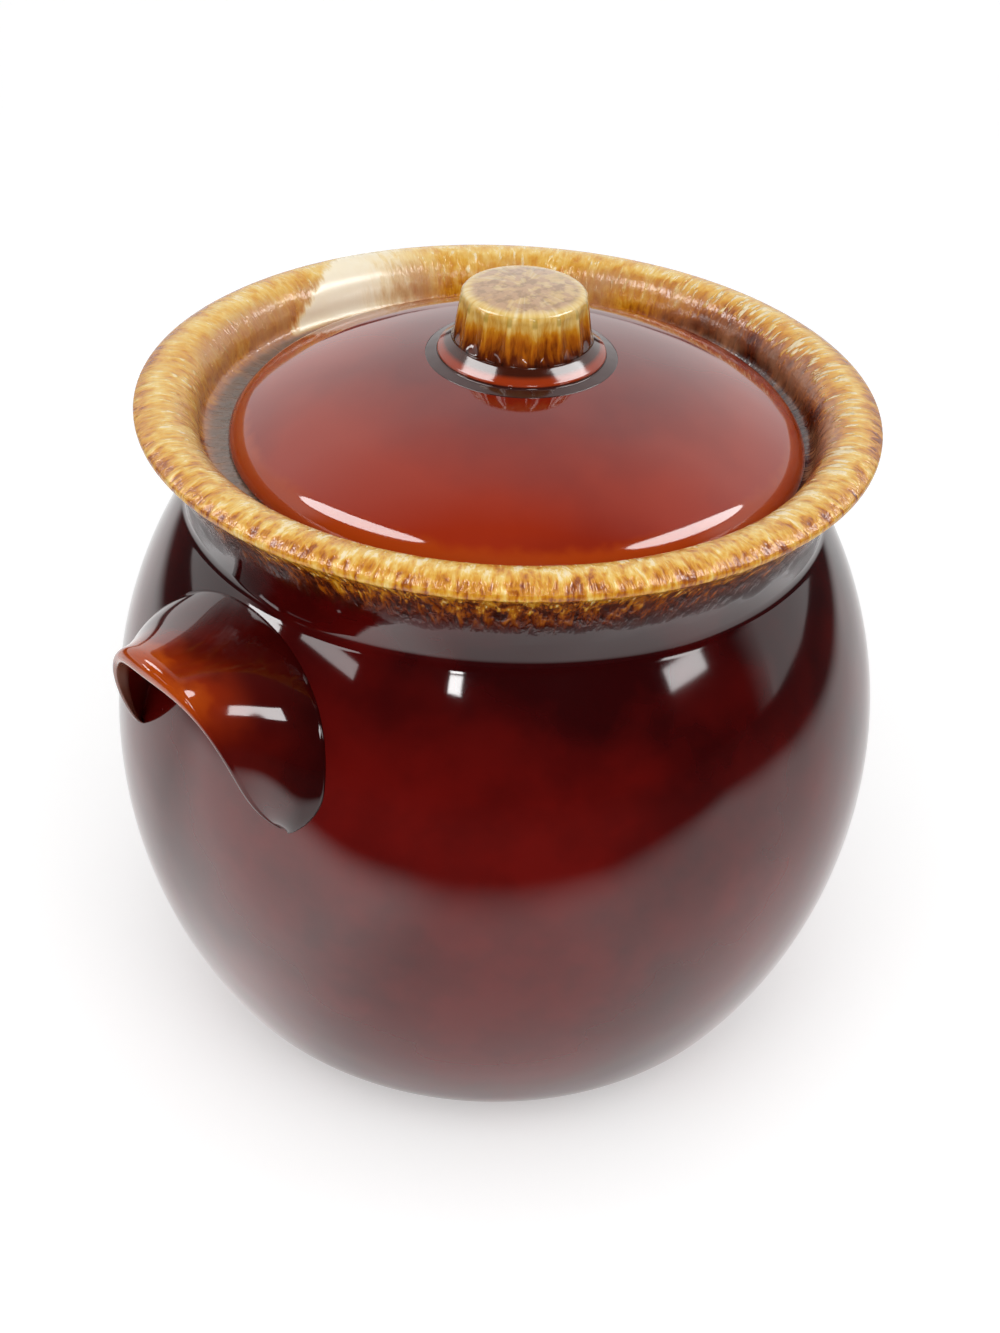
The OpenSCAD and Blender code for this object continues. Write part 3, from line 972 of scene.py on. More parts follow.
@dataclass
class GlazedPot:
    """The pot: globe, rolled rim, lid well and foot ring. Sizes in millimetres."""

    effects: Effects
    body_r: float = 89.0
    belly_z: float = 76.0
    shoulder_r: float = 104.0
    flank_r: float = 116.0
    heel_r: float = 33.0
    wall: float = 6.5
    floor_z: float = 9.0
    foot_h: float = 2.5
    foot_w: float = 7.0
    foot_step: float = 2.5
    foot_sunk: float = 0.6
    neck_r: float = 71.4
    hollow_r: float = 32.0
    neck_wall: float = 12.9
    rim_z: float = 159.548
    collar_h: float = 19.6
    roll_r: float = 8.5
    rim_lip: float = 5.5
    edge_h: float = 1.3
    seat_w: float = 9.5
    seat_depth: float = 10.0
    turns: int = 192

    def globe_radius(self, height: np.ndarray) -> np.ndarray:
        """Radius of the globe's outside at heights over its heel."""
        bend = np.where(height > self.belly_z, self.shoulder_r, self.flank_r)
        return self.body_r - bend + np.sqrt(np.maximum(bend ** 2 - (height - self.belly_z) ** 2, 0.0))

    def wall_section(self) -> tuple[np.ndarray, dict[str, int]]:
        """Draws the wall's section from under the floor, up the outside and down the inside.

        Returns:
            The section, and the places of the rim's crown and of the wall's joints on it.
        """
        shoulder_x, flank_x = self.body_r - self.shoulder_r, self.body_r - self.flank_r
        heel_x = flank_x + math.sqrt((self.flank_r - self.heel_r) ** 2 - (self.belly_z - self.heel_r) ** 2)
        heel_turn = math.atan2(self.heel_r - self.belly_z, heel_x - flank_x)
        crease_turn = math.acos((self.neck_r - shoulder_x) / self.shoulder_r)
        crease_z = self.belly_z + self.shoulder_r * math.sin(crease_turn)
        joint_z = self.rim_z - self.collar_h
        throat_r = self.neck_r - self.neck_wall
        well_r = throat_r + self.seat_w
        seat_z = self.rim_z - self.seat_depth
        roll = (well_r + self.roll_r, self.rim_z - self.roll_r)
        rim_r = roll[0] + self.rim_lip
        lip_turn = math.acos(self.rim_lip / self.roll_r)
        edge_z = roll[1] + self.roll_r * math.sin(lip_turn) - self.edge_h
        span = (rim_r - self.neck_r, edge_z - crease_z)
        sag = math.sqrt((self.hollow_r / math.hypot(*span)) ** 2 - 0.25)
        hollow = ((self.neck_r + rim_r) / 2 + span[1] * sag, (crease_z + edge_z) / 2 - span[0] * sag)
        foot_turn, joint_turn, edge_turn = (math.pi - math.asin((z - hollow[1]) / self.hollow_r)
                                            for z in (crease_z, joint_z, edge_z))
        throat_turn = math.acos((throat_r - shoulder_x) / (self.shoulder_r - self.wall))
        throat_z = self.belly_z + (self.shoulder_r - self.wall) * math.sin(throat_turn)
        base_turn = math.asin((self.foot_h - self.heel_r) / self.heel_r)
        floor_turn = math.asin((self.floor_z - self.heel_r) / (self.heel_r - self.wall))
        cut_z = (seat_z + throat_z) / 2
        heel, flank, shoulder = (heel_x, self.heel_r), (flank_x, self.belly_z), (shoulder_x, self.belly_z)
        drawn = Outline(0.0, self.foot_h)
        drawn.line(heel_x + self.heel_r * math.cos(base_turn), self.foot_h, 5.0).soften(1.2)
        drawn.arc(heel, self.heel_r, base_turn, heel_turn).arc(flank, self.flank_r, heel_turn, 0.0)
        drawn.arc(shoulder, self.shoulder_r, 0.0, crease_turn, 1.0).soften(1.6)
        drawn.arc(hollow, self.hollow_r, foot_turn, joint_turn, 0.5)
        drawn.arc(hollow, self.hollow_r, joint_turn, edge_turn, 0.5).soften(0.6)
        drawn.line(rim_r, edge_z + self.edge_h, 0.3).soften(0.5)
        drawn.arc(roll, self.roll_r, lip_turn, math.pi / 2, 0.4)
        drawn.arc(roll, self.roll_r, math.pi / 2, math.pi, 0.5)
        drawn.line(well_r, seat_z, 0.6).soften(3.0).line(throat_r, seat_z, 1.0).soften(1.2)
        drawn.line(throat_r, cut_z, 1.0).line(throat_r, throat_z, 1.0).soften(2.4)
        drawn.arc(shoulder, self.shoulder_r - self.wall, throat_turn, 0.0, 3.0)
        drawn.arc(flank, self.flank_r - self.wall, 0.0, heel_turn, 3.0)
        drawn.arc(heel, self.heel_r - self.wall, heel_turn, floor_turn, 2.0).soften(3.0)
        drawn.line(0.0, self.floor_z, 5.0)
        section = drawn.section()
        neck_r = hollow[0] + self.hollow_r * math.cos(joint_turn)
        places = {"belly_out": (self.body_r, self.belly_z), "neck": (neck_r, joint_z),
                  "crown": (roll[0], self.rim_z), "throat": (throat_r, cut_z),
                  "belly_in": (self.body_r - self.wall, self.belly_z)}
        found = {name: int(np.argmin(np.linalg.norm(section - at, axis=1))) for name, at in places.items()}
        return section, found

    def build_wall(self) -> list[bpy.types.Object]:
        """Builds and dresses bowl, shoulder and rim collar as closed sections of one smooth wall.

        Returns:
            The three pieces.
        """
        section, at = self.wall_section()
        run = (lengths(section)[at["crown"]] - lengths(section)) * MM
        wall = Strip(section, section_normals(section), {"run": run})
        belly_out, neck, throat, belly_in = (at[name] for name in ("belly_out", "neck", "throat", "belly_in"))
        bowl = [wall.part(0, belly_out), wall.joint(belly_out, belly_in),
                wall.part(belly_in, len(section) - 1)]
        shoulder = [wall.part(belly_out, neck), wall.joint(neck, throat), wall.part(throat, belly_in),
                    wall.joint(belly_in, belly_out)]
        collar = [wall.part(neck, throat), wall.joint(throat, neck)]
        dark = DarkGlaze(self.effects).material()
        drip = DripGlaze(self.effects).material()
        rows = ((bowl, "bowl_glazed", dark, Slot.DARK, "pot_bowl"),
                (shoulder, "shoulder_glazed", dark, Slot.DARK, "pot_shoulder"),
                (collar, "rim_drip_glazed", drip, Slot.DRIP, "rim_collar"))
        return [place_piece(turn(strips, self.turns).piece(name, glaze), Body.POT, [node])
                for strips, name, glaze, slot, node in rows]

    def build_foot(self) -> bpy.types.Object:
        """Builds and dresses the foot ring that was wiped clean of glaze.

        Returns:
            The piece.
        """
        section, _ = self.wall_section()
        outer = float(section[np.flatnonzero(section[:, 1] > self.foot_h + 1e-6)[0], 0]) - self.foot_step
        inner, high = outer - self.foot_w, self.foot_h + self.foot_sunk
        drawn = Outline(inner, high).line(inner, 0.0, 0.6).soften(0.9)
        drawn.line(outer, 0.0, 0.8).soften(1.0).line(outer, high, 0.6).line(inner, high, 2.0)
        ring = drawn.section()
        skin = turn([Strip(ring[:-1], section_normals(ring)[:-1])], self.turns, closed=True)
        clay = BareClay(self.effects).material()
        return place_piece(skin.piece("foot_ring_clay", clay), Body.POT, ["foot_ring"])


@dataclass
class LugHandle:
    """A lug: an arched tongue that stands out of the shoulder, hollow underneath. Sizes in millimetres."""

    effects: Effects
    pot: GlazedPot
    side: Side
    rise: float = 56.2
    foot_rise: float = 17.0
    width: float = 66.2
    thick: float = 8.0
    lip_w: float = 42.7
    lip_stand: float = 11.0
    lip_drop: float = 4.75
    lip_t: float = 5.6
    root_fullness: float = 0.74
    lip_fullness: float = 0.67
    lip_roundness: float = 0.38
    tip_y: float = 25.3
    tip_share: float = 0.213
    tip_slim: float = 0.2
    slim_power: float = 5.0
    puff: float = 0.55
    fillet: float = 0.35
    flare: float = 0.16
    sunk: float = 3.0
    lip_reach: float = 0.15
    under_reach: float = 0.80
    rings: int = 97
    spans: int = 26
    lip_steps: int = 16

    def __post_init__(self) -> None:
        """Spreads the sections round the arch: how high each stands, and how far to the side."""
        turns = -math.pi / 2 * np.cos(np.linspace(0.0, math.pi, self.rings))
        self.lift, self.sway = np.maximum(np.cos(turns), 0.0), np.sin(turns)
        self.swell = np.sqrt(1.0 - (1.0 - np.clip(self.lift / self.tip_share, 0.0, 1.0)) ** 2)
        self.face = np.stack([np.zeros_like(turns), self.sway, np.cos(turns)], 1)

    def arch(self, half_width: float, crest: float, fullness: float) -> tuple[np.ndarray, np.ndarray]:
        """Draws an arch whose two feet round off into the lug's tips.

        Args:
            half_width: Half its width.
            crest: Height of its top.
            fullness: How the arch rises; below one it is fuller.

        Returns:
            Place to the side and height of each section.
        """
        foot = self.pot.belly_z + self.foot_rise
        aside = (self.tip_y + (half_width - self.tip_y) * self.swell) * self.sway
        return aside, foot + (crest - foot) * self.lift ** fullness

    def on_globe(self, aside: np.ndarray, height: np.ndarray) -> tuple[np.ndarray, np.ndarray]:
        """Sets places on the globe.

        Args:
            aside: Place to the side.
            height: Height.

        Returns:
            The points, and which way the globe faces there.
        """
        globe = self.pot.globe_radius(height)
        points = np.stack([np.sqrt(globe ** 2 - aside ** 2), aside, height], 1)
        slope = (self.pot.globe_radius(height + 0.1) - self.pot.globe_radius(height - 0.1)) / 0.2
        facing = np.concatenate([points[:, :2] / globe[:, None], -slope[:, None]], 1)
        return points, facing / np.linalg.norm(facing, axis=1)[:, None]

    def lip_line(self) -> tuple[np.ndarray, np.ndarray]:
        """Draws the middle of the rounded lip.

        Returns:
            The points, and half the lip's thickness at each.
        """
        crest = self.pot.belly_z + self.rise - self.lip_drop
        aside, height = self.arch(self.lip_w / 2, crest, self.lip_fullness)
        foot, _ = self.on_globe(aside, np.full_like(height, self.pot.belly_z + self.foot_rise))
        start = foot[:, 0] - self.lip_t / 2
        stand = self.pot.body_r + self.lip_stand - self.lip_t / 2
        points = np.stack([start + (stand - start) * self.lift ** self.lip_roundness, aside, height], 1)
        slim = self.tip_slim + (1 - self.tip_slim) * self.lift ** self.slim_power
        return points, self.lip_t / 2 * slim[:, None]

    def sections(self) -> tuple[np.ndarray, np.ndarray]:
        """Draws the lug's closed sections round the arch, as on the right-hand side.

        Returns:
            Points as ring, place and axis, and how far each has come towards the lip: 0 at the root, 1 at the
            lip's start and more round it.
        """
        crest = self.pot.belly_z + self.rise
        root, root_out = self.on_globe(*self.arch(self.width / 2, crest, self.root_fullness))
        inside = self.arch(self.width / 2 - self.thick, crest - self.thick, self.root_fullness)
        under, under_out = self.on_globe(*inside)
        lip, half = self.lip_line()
        top, bottom = lip + self.face * half, lip - self.face * half
        across = top - root
        length = np.linalg.norm(across, axis=1)[:, None]
        swollen = (self.puff - (self.puff + self.fillet) * self.lift ** 4)[:, None]
        leave = across + root_out * length * swollen
        arrive = across + self.face * length * self.flare * self.lift[:, None]
        rows, reach = [root - root_out * self.sunk], [0.0]
        for u in np.linspace(0, 1, self.spans, endpoint=False):
            rows.append(root * (1 + 2 * u) * (1 - u) ** 2 + leave * u * (1 - u) ** 2
                        + top * u * u * (3 - 2 * u) + arrive * u * u * (u - 1))
            reach.append(u)
        for t in np.linspace(0, math.pi, self.lip_steps + 1):
            out = np.array((math.sin(t), 0.0, 0.0))
            rows.append(lip + (self.face * math.cos(t) + out) * half)
            reach.append(1.0 + self.lip_reach * (1.0 - math.cos(t)) / 2)
        for u in np.linspace(1, 0, self.spans, endpoint=False)[1:]:
            rows.append(under + (bottom - under) * u)
            reach.append(self.under_reach + (1.0 + self.lip_reach - self.under_reach) * u)
        rows.append(under - under_out * self.sunk)
        reach.append(0.0)
        return np.stack(rows, 1), np.repeat(np.array(reach)[None], self.rings, 0)

    def build(self) -> bpy.types.Object:
        """Builds and dresses the lug.

        Returns:
            The piece.
        """
        rings, reach = self.sections()
        caps = [np.broadcast_to(rings[k].mean(0), rings[k].shape)[None] for k in (0, -1)]
        rings = np.concatenate([caps[0], rings, caps[1]])
        reach = np.concatenate([reach[:1], reach, reach[-1:]])
        if self.side is Side.LEFT:
            rings = rings * (-1.0, -1.0, 1.0)
        skin = Skin()
        lift = np.repeat(np.concatenate([[0.0], self.lift, [0.0]])[:, None], rings.shape[1], 1)
        skin.add(rings[::-1] * MM, {"reach": reach[::-1], "lift": lift})
        name = self.side.name.lower()
        rust = bpy.data.materials.get(ThinGlaze.name) or ThinGlaze(self.effects).material()
        piece = skin.piece(f"lug_{name}_glazed", rust)
        return place_piece(piece, Body.POT, [f"lug_handle_{name}"])


@dataclass
class Lid:
    """The loose lid: domed plate, locating ring and fluted knob. Sizes in millimetres."""

    effects: Effects
    shift_y: float = -3.2
    seat_z: float = 149.548
    lid_r: float = 63.6
    dome_r: float = 121.0
    dome_rise: float = 21.7335
    thick: float = 6.0
    roll_r: float = 12.0
    roll_turn: float = math.radians(32.0)
    edge_r: float = 4.5
    ring_r: float = 54.5
    ring_h: float = 9.0
    ring_t: float = 5.0
    flare_r: float = 20.0
    flare_edge: float = 0.8
    flare_bend: float = 40.0
    collar_r: float = 18.35
    collar_lip: float = 0.55
    skirt_r: float = 15.2
    skirt_h: float = 11.998
    waist_h: float = 3.2
    fillet_w: float = 0.9
    fillet_h: float = 0.35
    knob_sunk: float = 0.3
    top_r: float = 13.9
    top_round: float = 2.2
    top_bend: float = 76.0
    flutes: int = 16
    flute_r: float = 3.6
    flute_depth: float = 0.9
    flute_top: float = 1.6
    flute_fade: float = 4.5
    flute_low: float = 0.4
    flute_foot: float = 3.0
    turns: int = 192
    knob_turns: int = 320

    def __post_init__(self) -> None:
        """Finds the middles of the dome's ball and of the edge's soft and tight curves."""
        self.dome_z = self.seat_z + self.dome_rise - self.dome_r
        apart = self.roll_r - self.edge_r
        step = (apart * math.cos(self.roll_turn), apart * math.sin(self.roll_turn))
        inner = self.lid_r - self.edge_r - step[0]
        self.roll_mid = (inner, self.dome_z + math.sqrt((self.dome_r - self.roll_r) ** 2 - inner ** 2))
        self.edge_mid = (self.roll_mid[0] + step[0], self.roll_mid[1] + step[1])

    def origin(self) -> tuple[float, float, float]:
        """Where the lid's axis stands on the table plane, in metres."""
        return 0.0, self.shift_y * MM, 0.0

    def dome_height(self, radius: float, inset: float = 0.0) -> float:
        """Height of the dome's face, or of a face set in from it, at a radius."""
        return self.dome_z + math.sqrt((self.dome_r - inset) ** 2 - radius ** 2)

    def build_dome(self) -> bpy.types.Object:
        """Builds and dresses the domed plate with its rounded edge.

        Returns:
            The piece.
        """
        ball = (0.0, self.dome_z)
        meet = math.atan2(self.roll_mid[1] - self.dome_z, self.roll_mid[0])
        low = -math.asin((self.edge_mid[1] - self.seat_z) / self.edge_r)
        under = math.acos(self.ring_r / (self.dome_r - self.thick))
        drawn = Outline(0.0, self.dome_z + self.dome_r).arc(ball, self.dome_r, math.pi / 2, meet, 1.5)
        drawn.arc(self.roll_mid, self.roll_r, meet, self.roll_turn, 0.4)
        drawn.arc(self.edge_mid, self.edge_r, self.roll_turn, 0.0, 0.3)
        drawn.arc(self.edge_mid, self.edge_r, 0.0, low, 0.3).soften(0.5)
        drawn.line(self.ring_r, self.seat_z, 1.5)
        drawn.line(self.ring_r, self.dome_height(self.ring_r, self.thick), 1.0).soften(0.8)
        drawn.arc(ball, self.dome_r - self.thick, under, math.pi / 2, 3.0)
        section = drawn.section()[::-1]
        widest = int(np.argmax(section[:, 0]))
        run = (lengths(section)[widest] - lengths(section)) * MM
        strip = Strip(section, section_normals(section), {"run": run})
        skin = turn([strip], self.turns, (0.0, self.shift_y))
        piece = skin.piece("lid_dome_glazed", LidGlaze(self.effects).material(), self.origin())
        return place_piece(piece, Body.LID, ["lid_dome"])

    def build_ring(self) -> bpy.types.Object:
        """Builds and dresses the ring that keeps the lid in the throat.

        Returns:
            The piece.
        """
        inner, low = self.ring_r - self.ring_t, self.seat_z - self.ring_h
        tops = (self.dome_height(self.ring_r, self.thick), self.dome_height(inner, self.thick))
        drawn = Outline(self.ring_r, tops[0]).line(inner, tops[1], 1.0).line(inner, low, 1.0).soften(1.6)
        drawn.line(self.ring_r, low, 0.8).soften(1.6).line(self.ring_r, tops[0], 1.0)
        section = drawn.section()
        run = np.full(len(section) - 1, 0.01)
        strip = Strip(section[:-1], section_normals(section)[:-1], {"run": run})
        skin = turn([strip], self.turns, (0.0, self.shift_y), closed=True)
        glaze = bpy.data.materials[LidGlaze.name]
        piece = skin.piece("lid_ring_glazed", glaze, self.origin())
        return place_piece(piece, Body.LID, ["lid_locating_ring"])

    def knob_section(self) -> tuple[np.ndarray, float, float]:
        """Draws the knob's section from its top down to its foot on the dome.

        Returns:
            The section, the height of the skirt's lower edge, and the height of the top.
        """
        flare_z = self.dome_height(self.flare_r) + self.flare_edge
        skirt_z = flare_z + self.waist_h
        top_z = skirt_z + self.skirt_h
        lip_z = flare_z + self.collar_lip
        wide, tall = self.collar_r - self.skirt_r, skirt_z - lip_z
        half = math.asin(math.hypot(wide, tall) / 2 / self.flare_bend)
        facing = math.atan2(wide, tall)
        bend = (self.collar_r + self.flare_bend * math.cos(facing + half),
                lip_z + self.flare_bend * math.sin(facing + half))
        ball = (0.0, top_z - self.top_bend)
        meet = math.acos((self.top_r - self.top_round) / (self.top_bend - self.top_round))
        rounding = (self.top_r - self.top_round, ball[1] + (self.top_bend - self.top_round) * math.sin(meet))
        drawn = Outline(0.0, top_z).arc(ball, self.top_bend, math.pi / 2, meet, 0.8)
        drawn.arc(rounding, self.top_round, meet, 0.0, 0.2)
        drawn.line(self.skirt_r, skirt_z, 0.3).soften(0.4)
        drawn.arc(bend, self.flare_bend, math.pi + facing - half, math.pi + facing + half, 0.3).soften(0.4)
        foot_r = self.flare_r + self.fillet_w
        foot_z = self.dome_height(foot_r)
        drawn.line(self.collar_r + 0.1, self.dome_height(self.collar_r) + self.fillet_h, 0.2).soften(0.3)
        drawn.line(foot_r, foot_z + 0.02, 0.3).line(foot_r, foot_z - self.knob_sunk, 0.3)
        drawn.line(0.0, self.dome_z + self.dome_r - self.knob_sunk, 4.0)
        return drawn.section(), skirt_z, top_z

    def groove(self, radius: np.ndarray, height: np.ndarray, turns: np.ndarray, low: float,
               high: float) -> tuple[np.ndarray, np.ndarray]:
        """Shape of the flutes, each a trough that grows shallow towards both ends.

        Args:
            radius: Radius of each ring.
            height: Height of each ring.
            turns: Angle of each place on a ring.
            low: Height of the skirt's lower edge.
            high: Height of the knob's top.

        Returns:
            How far each place lies into a flute from its sides, 0 to 1, and how much of its depth each ring
            has.
        """
        pitch = 2 * math.pi / self.flutes
        off = (turns + pitch / 2) % pitch - pitch / 2
        aside = radius[:, None] * off[None]
        trough = np.sqrt(np.maximum(self.flute_r ** 2 - aside ** 2, 0.0)) - (self.flute_r - self.flute_depth)
        skirt = (height > low + 0.05) & (height < high - self.flute_top)
        fade = np.clip((high - self.flute_top - height) / self.flute_fade, 0.0, 1.0)
        foot = np.clip((height - low - self.flute_low) / self.flute_foot, 0.0, 1.0)
        inward = np.maximum(trough, 0.0) / self.flute_depth * skirt[:, None]
        return inward, fade * (2.0 - fade) * foot * (2.0 - foot)

    def build_knob(self) -> bpy.types.Object:
        """Builds and dresses the fluted knob.

        Returns:
            The piece.
        """
        section, low, high = self.knob_section()
        radius, height = section[:, 0], section[:, 1]
        turns = np.linspace(0, 2 * math.pi, self.knob_turns, endpoint=False)
        hollow, share = self.groove(radius, height, turns, low, high)
        width = radius[:, None] - hollow * self.flute_depth * share[:, None]
        rings = np.stack([width * np.cos(turns), width * np.sin(turns) + self.shift_y,
                          np.repeat(height[:, None], self.knob_turns, 1)], 2)
        rise = np.repeat((height - low)[:, None] * MM, self.knob_turns, 1)
        crown = np.where(height > high - self.top_round, 1.0 - radius / self.top_r, 0.0)
        values = {"groove": hollow, "rise": rise, "crown": np.repeat(crown[:, None], self.knob_turns, 1)}
        skin = Skin()
        skin.add(rings[::-1] * MM, {name: value[::-1] for name, value in values.items()})
        piece = skin.piece("lid_knob_glazed", KnobGlaze(self.effects).material(), self.origin())
        return place_piece(piece, Body.LID, ["lid_knob"])


@dataclass(frozen=True)
class Window:
    """A bright shape that the glaze mirrors, in degrees left of the camera and up, and in metres.

    A window with a lean is an oval turned by that many degrees; one without is square and upright.
    """

    name: str
    azimuth: float
    height: float
    size: tuple[float, float]
    radiance: float
    lean: float | None = None


@dataclass
class Studio:
    """Pale floor, soft light and the camera. Sizes in metres."""

    eye: tuple[float, float, float] = (-0.31513, -0.32632, 0.39077)
    aim: tuple[float, float, float] = (0.00065, -0.00063, 0.08621)
    roll: float = 2.826
    lens: float = 62.1155
    ambient: float = 0.5
    floor_corners: tuple[tuple[float, float], ...] = ((0.0, 10.0), (-8.66, -5.0), (8.66, -5.0))
    floor_gap: float = 0.0002
    front_up: float = 50.3
    front_reach: float = 1.15
    front_size: tuple[float, float] = (1.3, 0.8)
    front_radiance: float = 2.0
    top_place: tuple[float, float, float] = (0.1, 0.1, 1.5)
    top_size: tuple[float, float] = (1.5, 1.5)
    top_radiance: float = 0.55
    lamp_aim: tuple[float, float, float] = (0.0, 0.0, 0.1)
    window_reach: float = 1.2
    window_lift: float = 0.125
    windows: tuple[Window, ...] = (
        Window("window_near", 12.1, 27.2, (0.070, 0.090), 24.0),
        Window("window_right", -62.0, 18.9, (0.30, 0.115), 10.0),
        Window("window_left", 55.0, 21.5, (0.40, 0.075), 5.0),
        Window("lamp_front", -18.0, 42.0, (0.20, 0.26), 13.0),
        Window("window_side", 80.5, 14.5, (0.30, 0.13), 14.0),
        Window("panel_left", 88.0, 53.0, (0.85, 0.34), 13.0, 48.0),
        Window("panel_right", -96.0, 50.0, (0.85, 0.34), 13.0, -36.0),
    )
    surround_peak: float = 1.4
    surround: tuple[tuple[float, float], ...] = (
        (-20.0, 0.012), (60.0, 0.02), (95.0, 0.08), (108.0, 0.7), (130.0, 1.35), (160.0, 1.35), (180.0, 1.2),
    )

    def facing(self) -> Vector:
        """The level direction from the pot to the camera."""
        return Vector((self.eye[0], self.eye[1], 0.0)).normalized()

    def leftward(self) -> Vector:
        """The level direction to the camera's left."""
        return Vector((0.0, 0.0, 1.0)).cross(-self.facing())

    def build_camera(self) -> bpy.types.Object:
        """Sets the camera where the picture was taken from.

        Returns:
            The camera.
        """
        made = bpy.data.objects.new("camera", bpy.data.cameras.new("camera"))
        made.data.lens = self.lens
        made.data.sensor_width = 36.0
        made.data.clip_start = 0.01
        ahead = (Vector(self.aim) - Vector(self.eye)).normalized()
        right = ahead.cross(Vector((0.0, 0.0, 1.0))).normalized()
        up = right.cross(ahead)
        lean = math.radians(self.roll)
        axes = (right * math.cos(lean) + up * math.sin(lean),
                up * math.cos(lean) - right * math.sin(lean), -ahead)
        made.matrix_world = Matrix.Translation(self.eye) @ Matrix(axes).transposed().to_4x4()
        bpy.context.scene.collection.objects.link(made)
        bpy.context.scene.camera = made
        return made

    def build_floor(self) -> bpy.types.Object:
        """Lays the pale floor, which shows white to the camera and keeps the pot's shadow.

        Returns:
            The floor, marked as stage.
        """
        material = bpy.data.materials.new("pale_floor")
        material.use_nodes = True
        graph = Graph(material.node_tree)
        shader = material.node_tree.nodes["Principled BSDF"]
        shader.inputs["Roughness"].default_value = 0.9
        shader.inputs["Specular IOR Level"].default_value = 0.1
        shader.inputs["Emission Color"].default_value = (1.0, 1.0, 1.0, 1.0)
        place = graph.node("ShaderNodeNewGeometry").outputs["Position"]
        ahead = graph.along(place, self.facing())
        left = graph.along(place, self.leftward())
        aside = graph.maths("ABSOLUTE", left)
        path = graph.node("ShaderNodeLightPath")
        shine = path.outputs["Is Glossy Ray"]
        # For reflections only: beyond a sheet near the pot the floor is painted dark, a painted dark
        # reflection of the room on the camera's side.
        sheet = graph.product(graph.remap(ahead, 0.33, 0.19), graph.remap(aside, 0.60, 0.38))
        dark = graph.product(graph.maths("SUBTRACT", 1.0, sheet), shine)
        graph.feed(shader.inputs["Base Color"], graph.blend(dark, (0.86, 0.86, 0.86), (0.03, 0.03, 0.03)))
        # Painted light and shadow, seen only in reflections: the floor glows brighter at the front corners
        # and dimmer in front of the pot, where its shadow falls.
        corners = graph.product(graph.remap(aside, 0.03, 0.10), graph.remap(ahead, 0.0, 0.07),
                                graph.remap(left, -0.05, 0.05, 0.2, 0.75))
        painted_floor_light = graph.product(graph.maths("ADD", corners, 0.42), shine, sheet,
                            graph.remap(left, -0.22, -0.04, 0.7, 1.0))
        white = graph.product(path.outputs["Is Camera Ray"], graph.remap(ahead, -0.4, -1.6, 0.36, 0.60))
        graph.feed(shader.inputs["Emission Strength"], graph.maths("ADD", painted_floor_light, white))
        mesh = bpy.data.meshes.new("floor")
        points = [(x, y, 0.0) for x, y in self.floor_corners]
        mesh.from_pydata(points, [], [tuple(range(len(points)))])
        mesh.materials.append(material)
        made = bpy.data.objects.new("floor", mesh)
        made.matrix_world = Matrix.Translation((0.0, 0.0, -self.floor_gap))
        bpy.context.scene.collection.objects.link(made)
        return made

    def lamp(self, name: str, place: Vector, size: tuple[float, float], radiance: float,
             lean: float | None = None) -> bpy.types.Object:
        """Hangs a soft lamp that looks at the pot.

        Args:
            name: The lamp's name.
            place: Where it hangs.
            size: Its width and height.
            radiance: How bright its face is.
            lean: How far an oval lamp is turned about the way it looks, in degrees; without it the lamp is
                square.

        Returns:
            The lamp.
        """
        data = bpy.data.lights.new(name, "AREA")
        data.shape = "RECTANGLE" if lean is None else "ELLIPSE"
        data.size, data.size_y = size
        data.energy = radiance * math.pi * size[0] * size[1] * (1.0 if lean is None else math.pi / 4)
        made = bpy.data.objects.new(name, data)
        made.location = place
        aimed = (Vector(self.lamp_aim) - place).to_track_quat("-Z", "Y")
        made.rotation_euler = (aimed @ Quaternion((0.0, 0.0, 1.0), math.radians(lean or 0.0))).to_euler()
        bpy.context.scene.collection.objects.link(made)
        return made

    def toward(self, azimuth: float, height: float) -> Vector:
        """Finds a direction as seen from the pot.

        Args:
            azimuth: Degrees to the camera's left.
            height: Degrees up.

        Returns:
            The direction, of unit length.
        """
        turn_left, turn_up = math.radians(azimuth), math.radians(height)
        level = self.facing() * math.cos(turn_left) + self.leftward() * math.sin(turn_left)
        return level * math.cos(turn_up) + Vector((0.0, 0.0, math.sin(turn_up)))

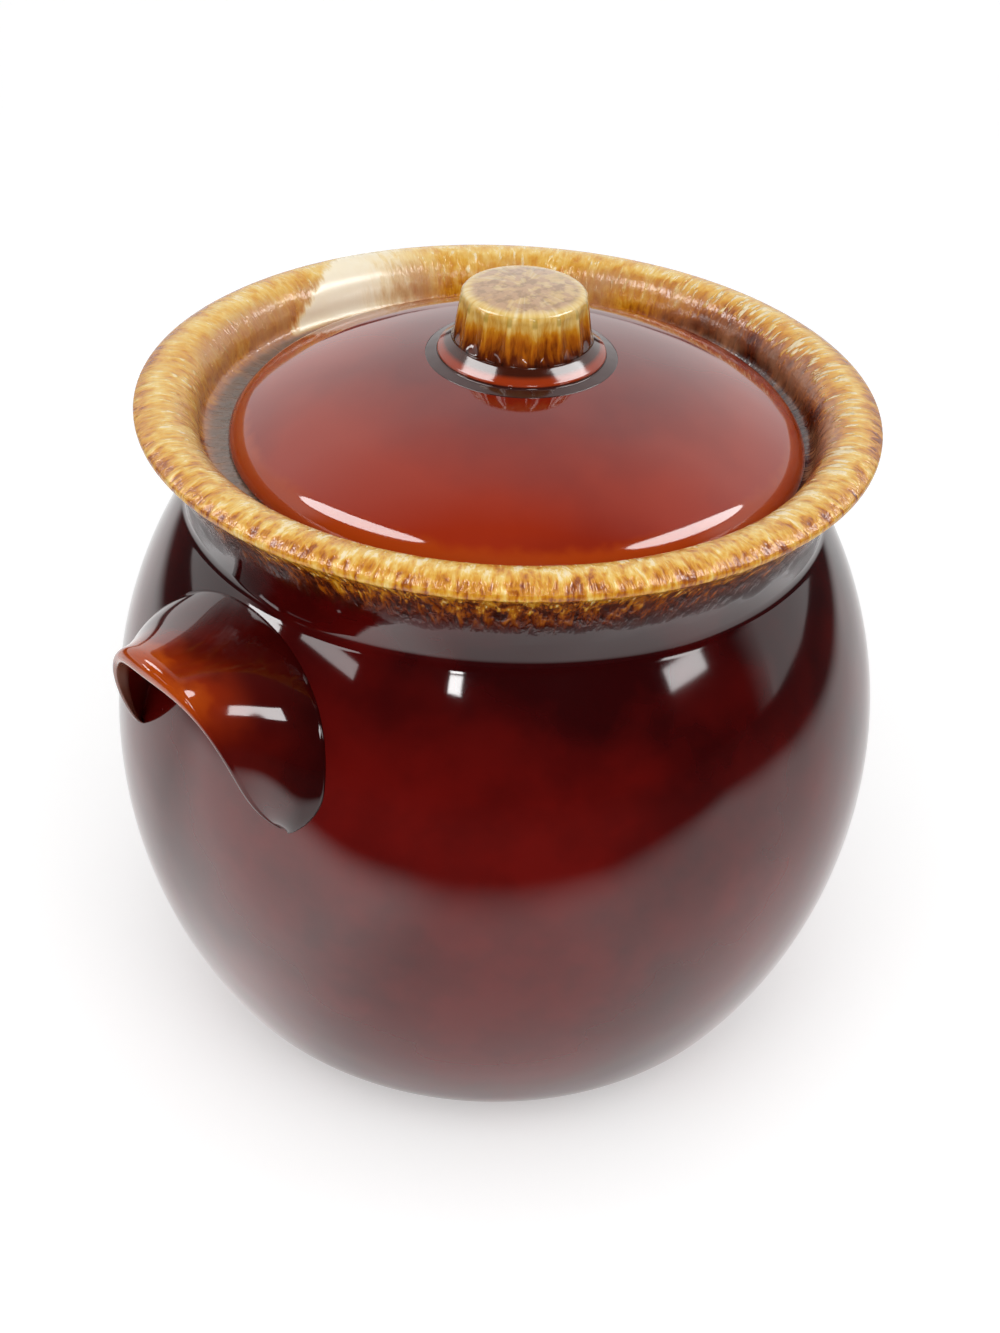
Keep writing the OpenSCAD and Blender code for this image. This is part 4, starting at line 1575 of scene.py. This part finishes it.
    def build_lamps(self) -> list[bpy.types.Object]:
        """Hangs the lamps.

        Returns:
            The lamps.
        """
        front_place = self.toward(0.0, self.front_up) * self.front_reach
        front = self.lamp("front_softbox", front_place, self.front_size, self.front_radiance)
        top = self.lamp("top_softbox", Vector(self.top_place), self.top_size, self.top_radiance)
        for lamp in (front, top):
            lamp.visible_glossy = False
        windows = []
        lifted = Vector((0.0, 0.0, self.window_lift))
        for window in self.windows:
            place = self.toward(window.azimuth, window.height) * self.window_reach + lifted
            windows.append(self.lamp(window.name, place, window.size, window.radiance, window.lean))
        for lamp in windows:
            lamp.visible_diffuse = False
        return [front, top, *windows]

    def build_world(self) -> None:
        """Surrounds the pot with a white studio that is open and dark on the camera's side."""
        world = bpy.data.worlds.new("white_surround")
        bpy.context.scene.world = world
        world.use_nodes = True
        graph = Graph(world.node_tree)
        way = graph.node("ShaderNodeTexCoord").outputs["Generated"]
        up = graph.node("ShaderNodeSeparateXYZ", {0: way}).outputs["Z"]
        ahead = graph.along(way, self.facing())
        aside = graph.maths("ABSOLUTE", graph.along(way, self.leftward()))
        angle = graph.maths("ARCTAN2", graph.maths("MAXIMUM", up, 0.0), ahead)
        turn_up = graph.maths("MULTIPLY", angle, 180 / math.pi)
        tones = [(at, tone / self.surround_peak) for at, tone in self.surround]
        panels = graph.maths("MULTIPLY", graph.level(turn_up, -20.0, 180.0, tones), self.surround_peak)
        flanks = graph.product(graph.remap(aside, 0.72, 0.84), graph.remap(ahead, 0.15, -0.1))
        studio = graph.blend(flanks, panels, (1.1, 1.1, 1.1))
        path = graph.node("ShaderNodeLightPath")
        mirrored = graph.maths("MAXIMUM", path.outputs["Is Glossy Ray"], path.outputs["Is Transmission Ray"])
        soft = graph.blend(path.outputs["Is Camera Ray"], (self.ambient,) * 3, (1.0, 1.0, 1.0))
        ground = world.node_tree.nodes["Background"]
        graph.feed(ground.inputs["Color"], graph.blend(mirrored, soft, studio))

    def build(self) -> None:
        """Builds the whole studio."""
        bpy.context.scene.view_settings.view_transform = "Standard"
        self.build_camera()
        self.build_floor()
        for lamp in self.build_lamps():
            LOG.info("%s: %.2f W", lamp.name, lamp.data.energy)
        self.build_world()


def main() -> None:
    """Builds the pot, its lugs, its lid and the studio, in that order."""
    logging.basicConfig(level=logging.INFO, format="%(message)s")
    effects = Effects()
    pot = GlazedPot(effects)
    pot.build_wall()
    pot.build_foot()
    for side in Side:
        LugHandle(effects, pot, side).build()
    lid = Lid(effects)
    lid.build_dome()
    lid.build_ring()
    lid.build_knob()
    Studio().build()


if __name__ == "__main__":
    main()
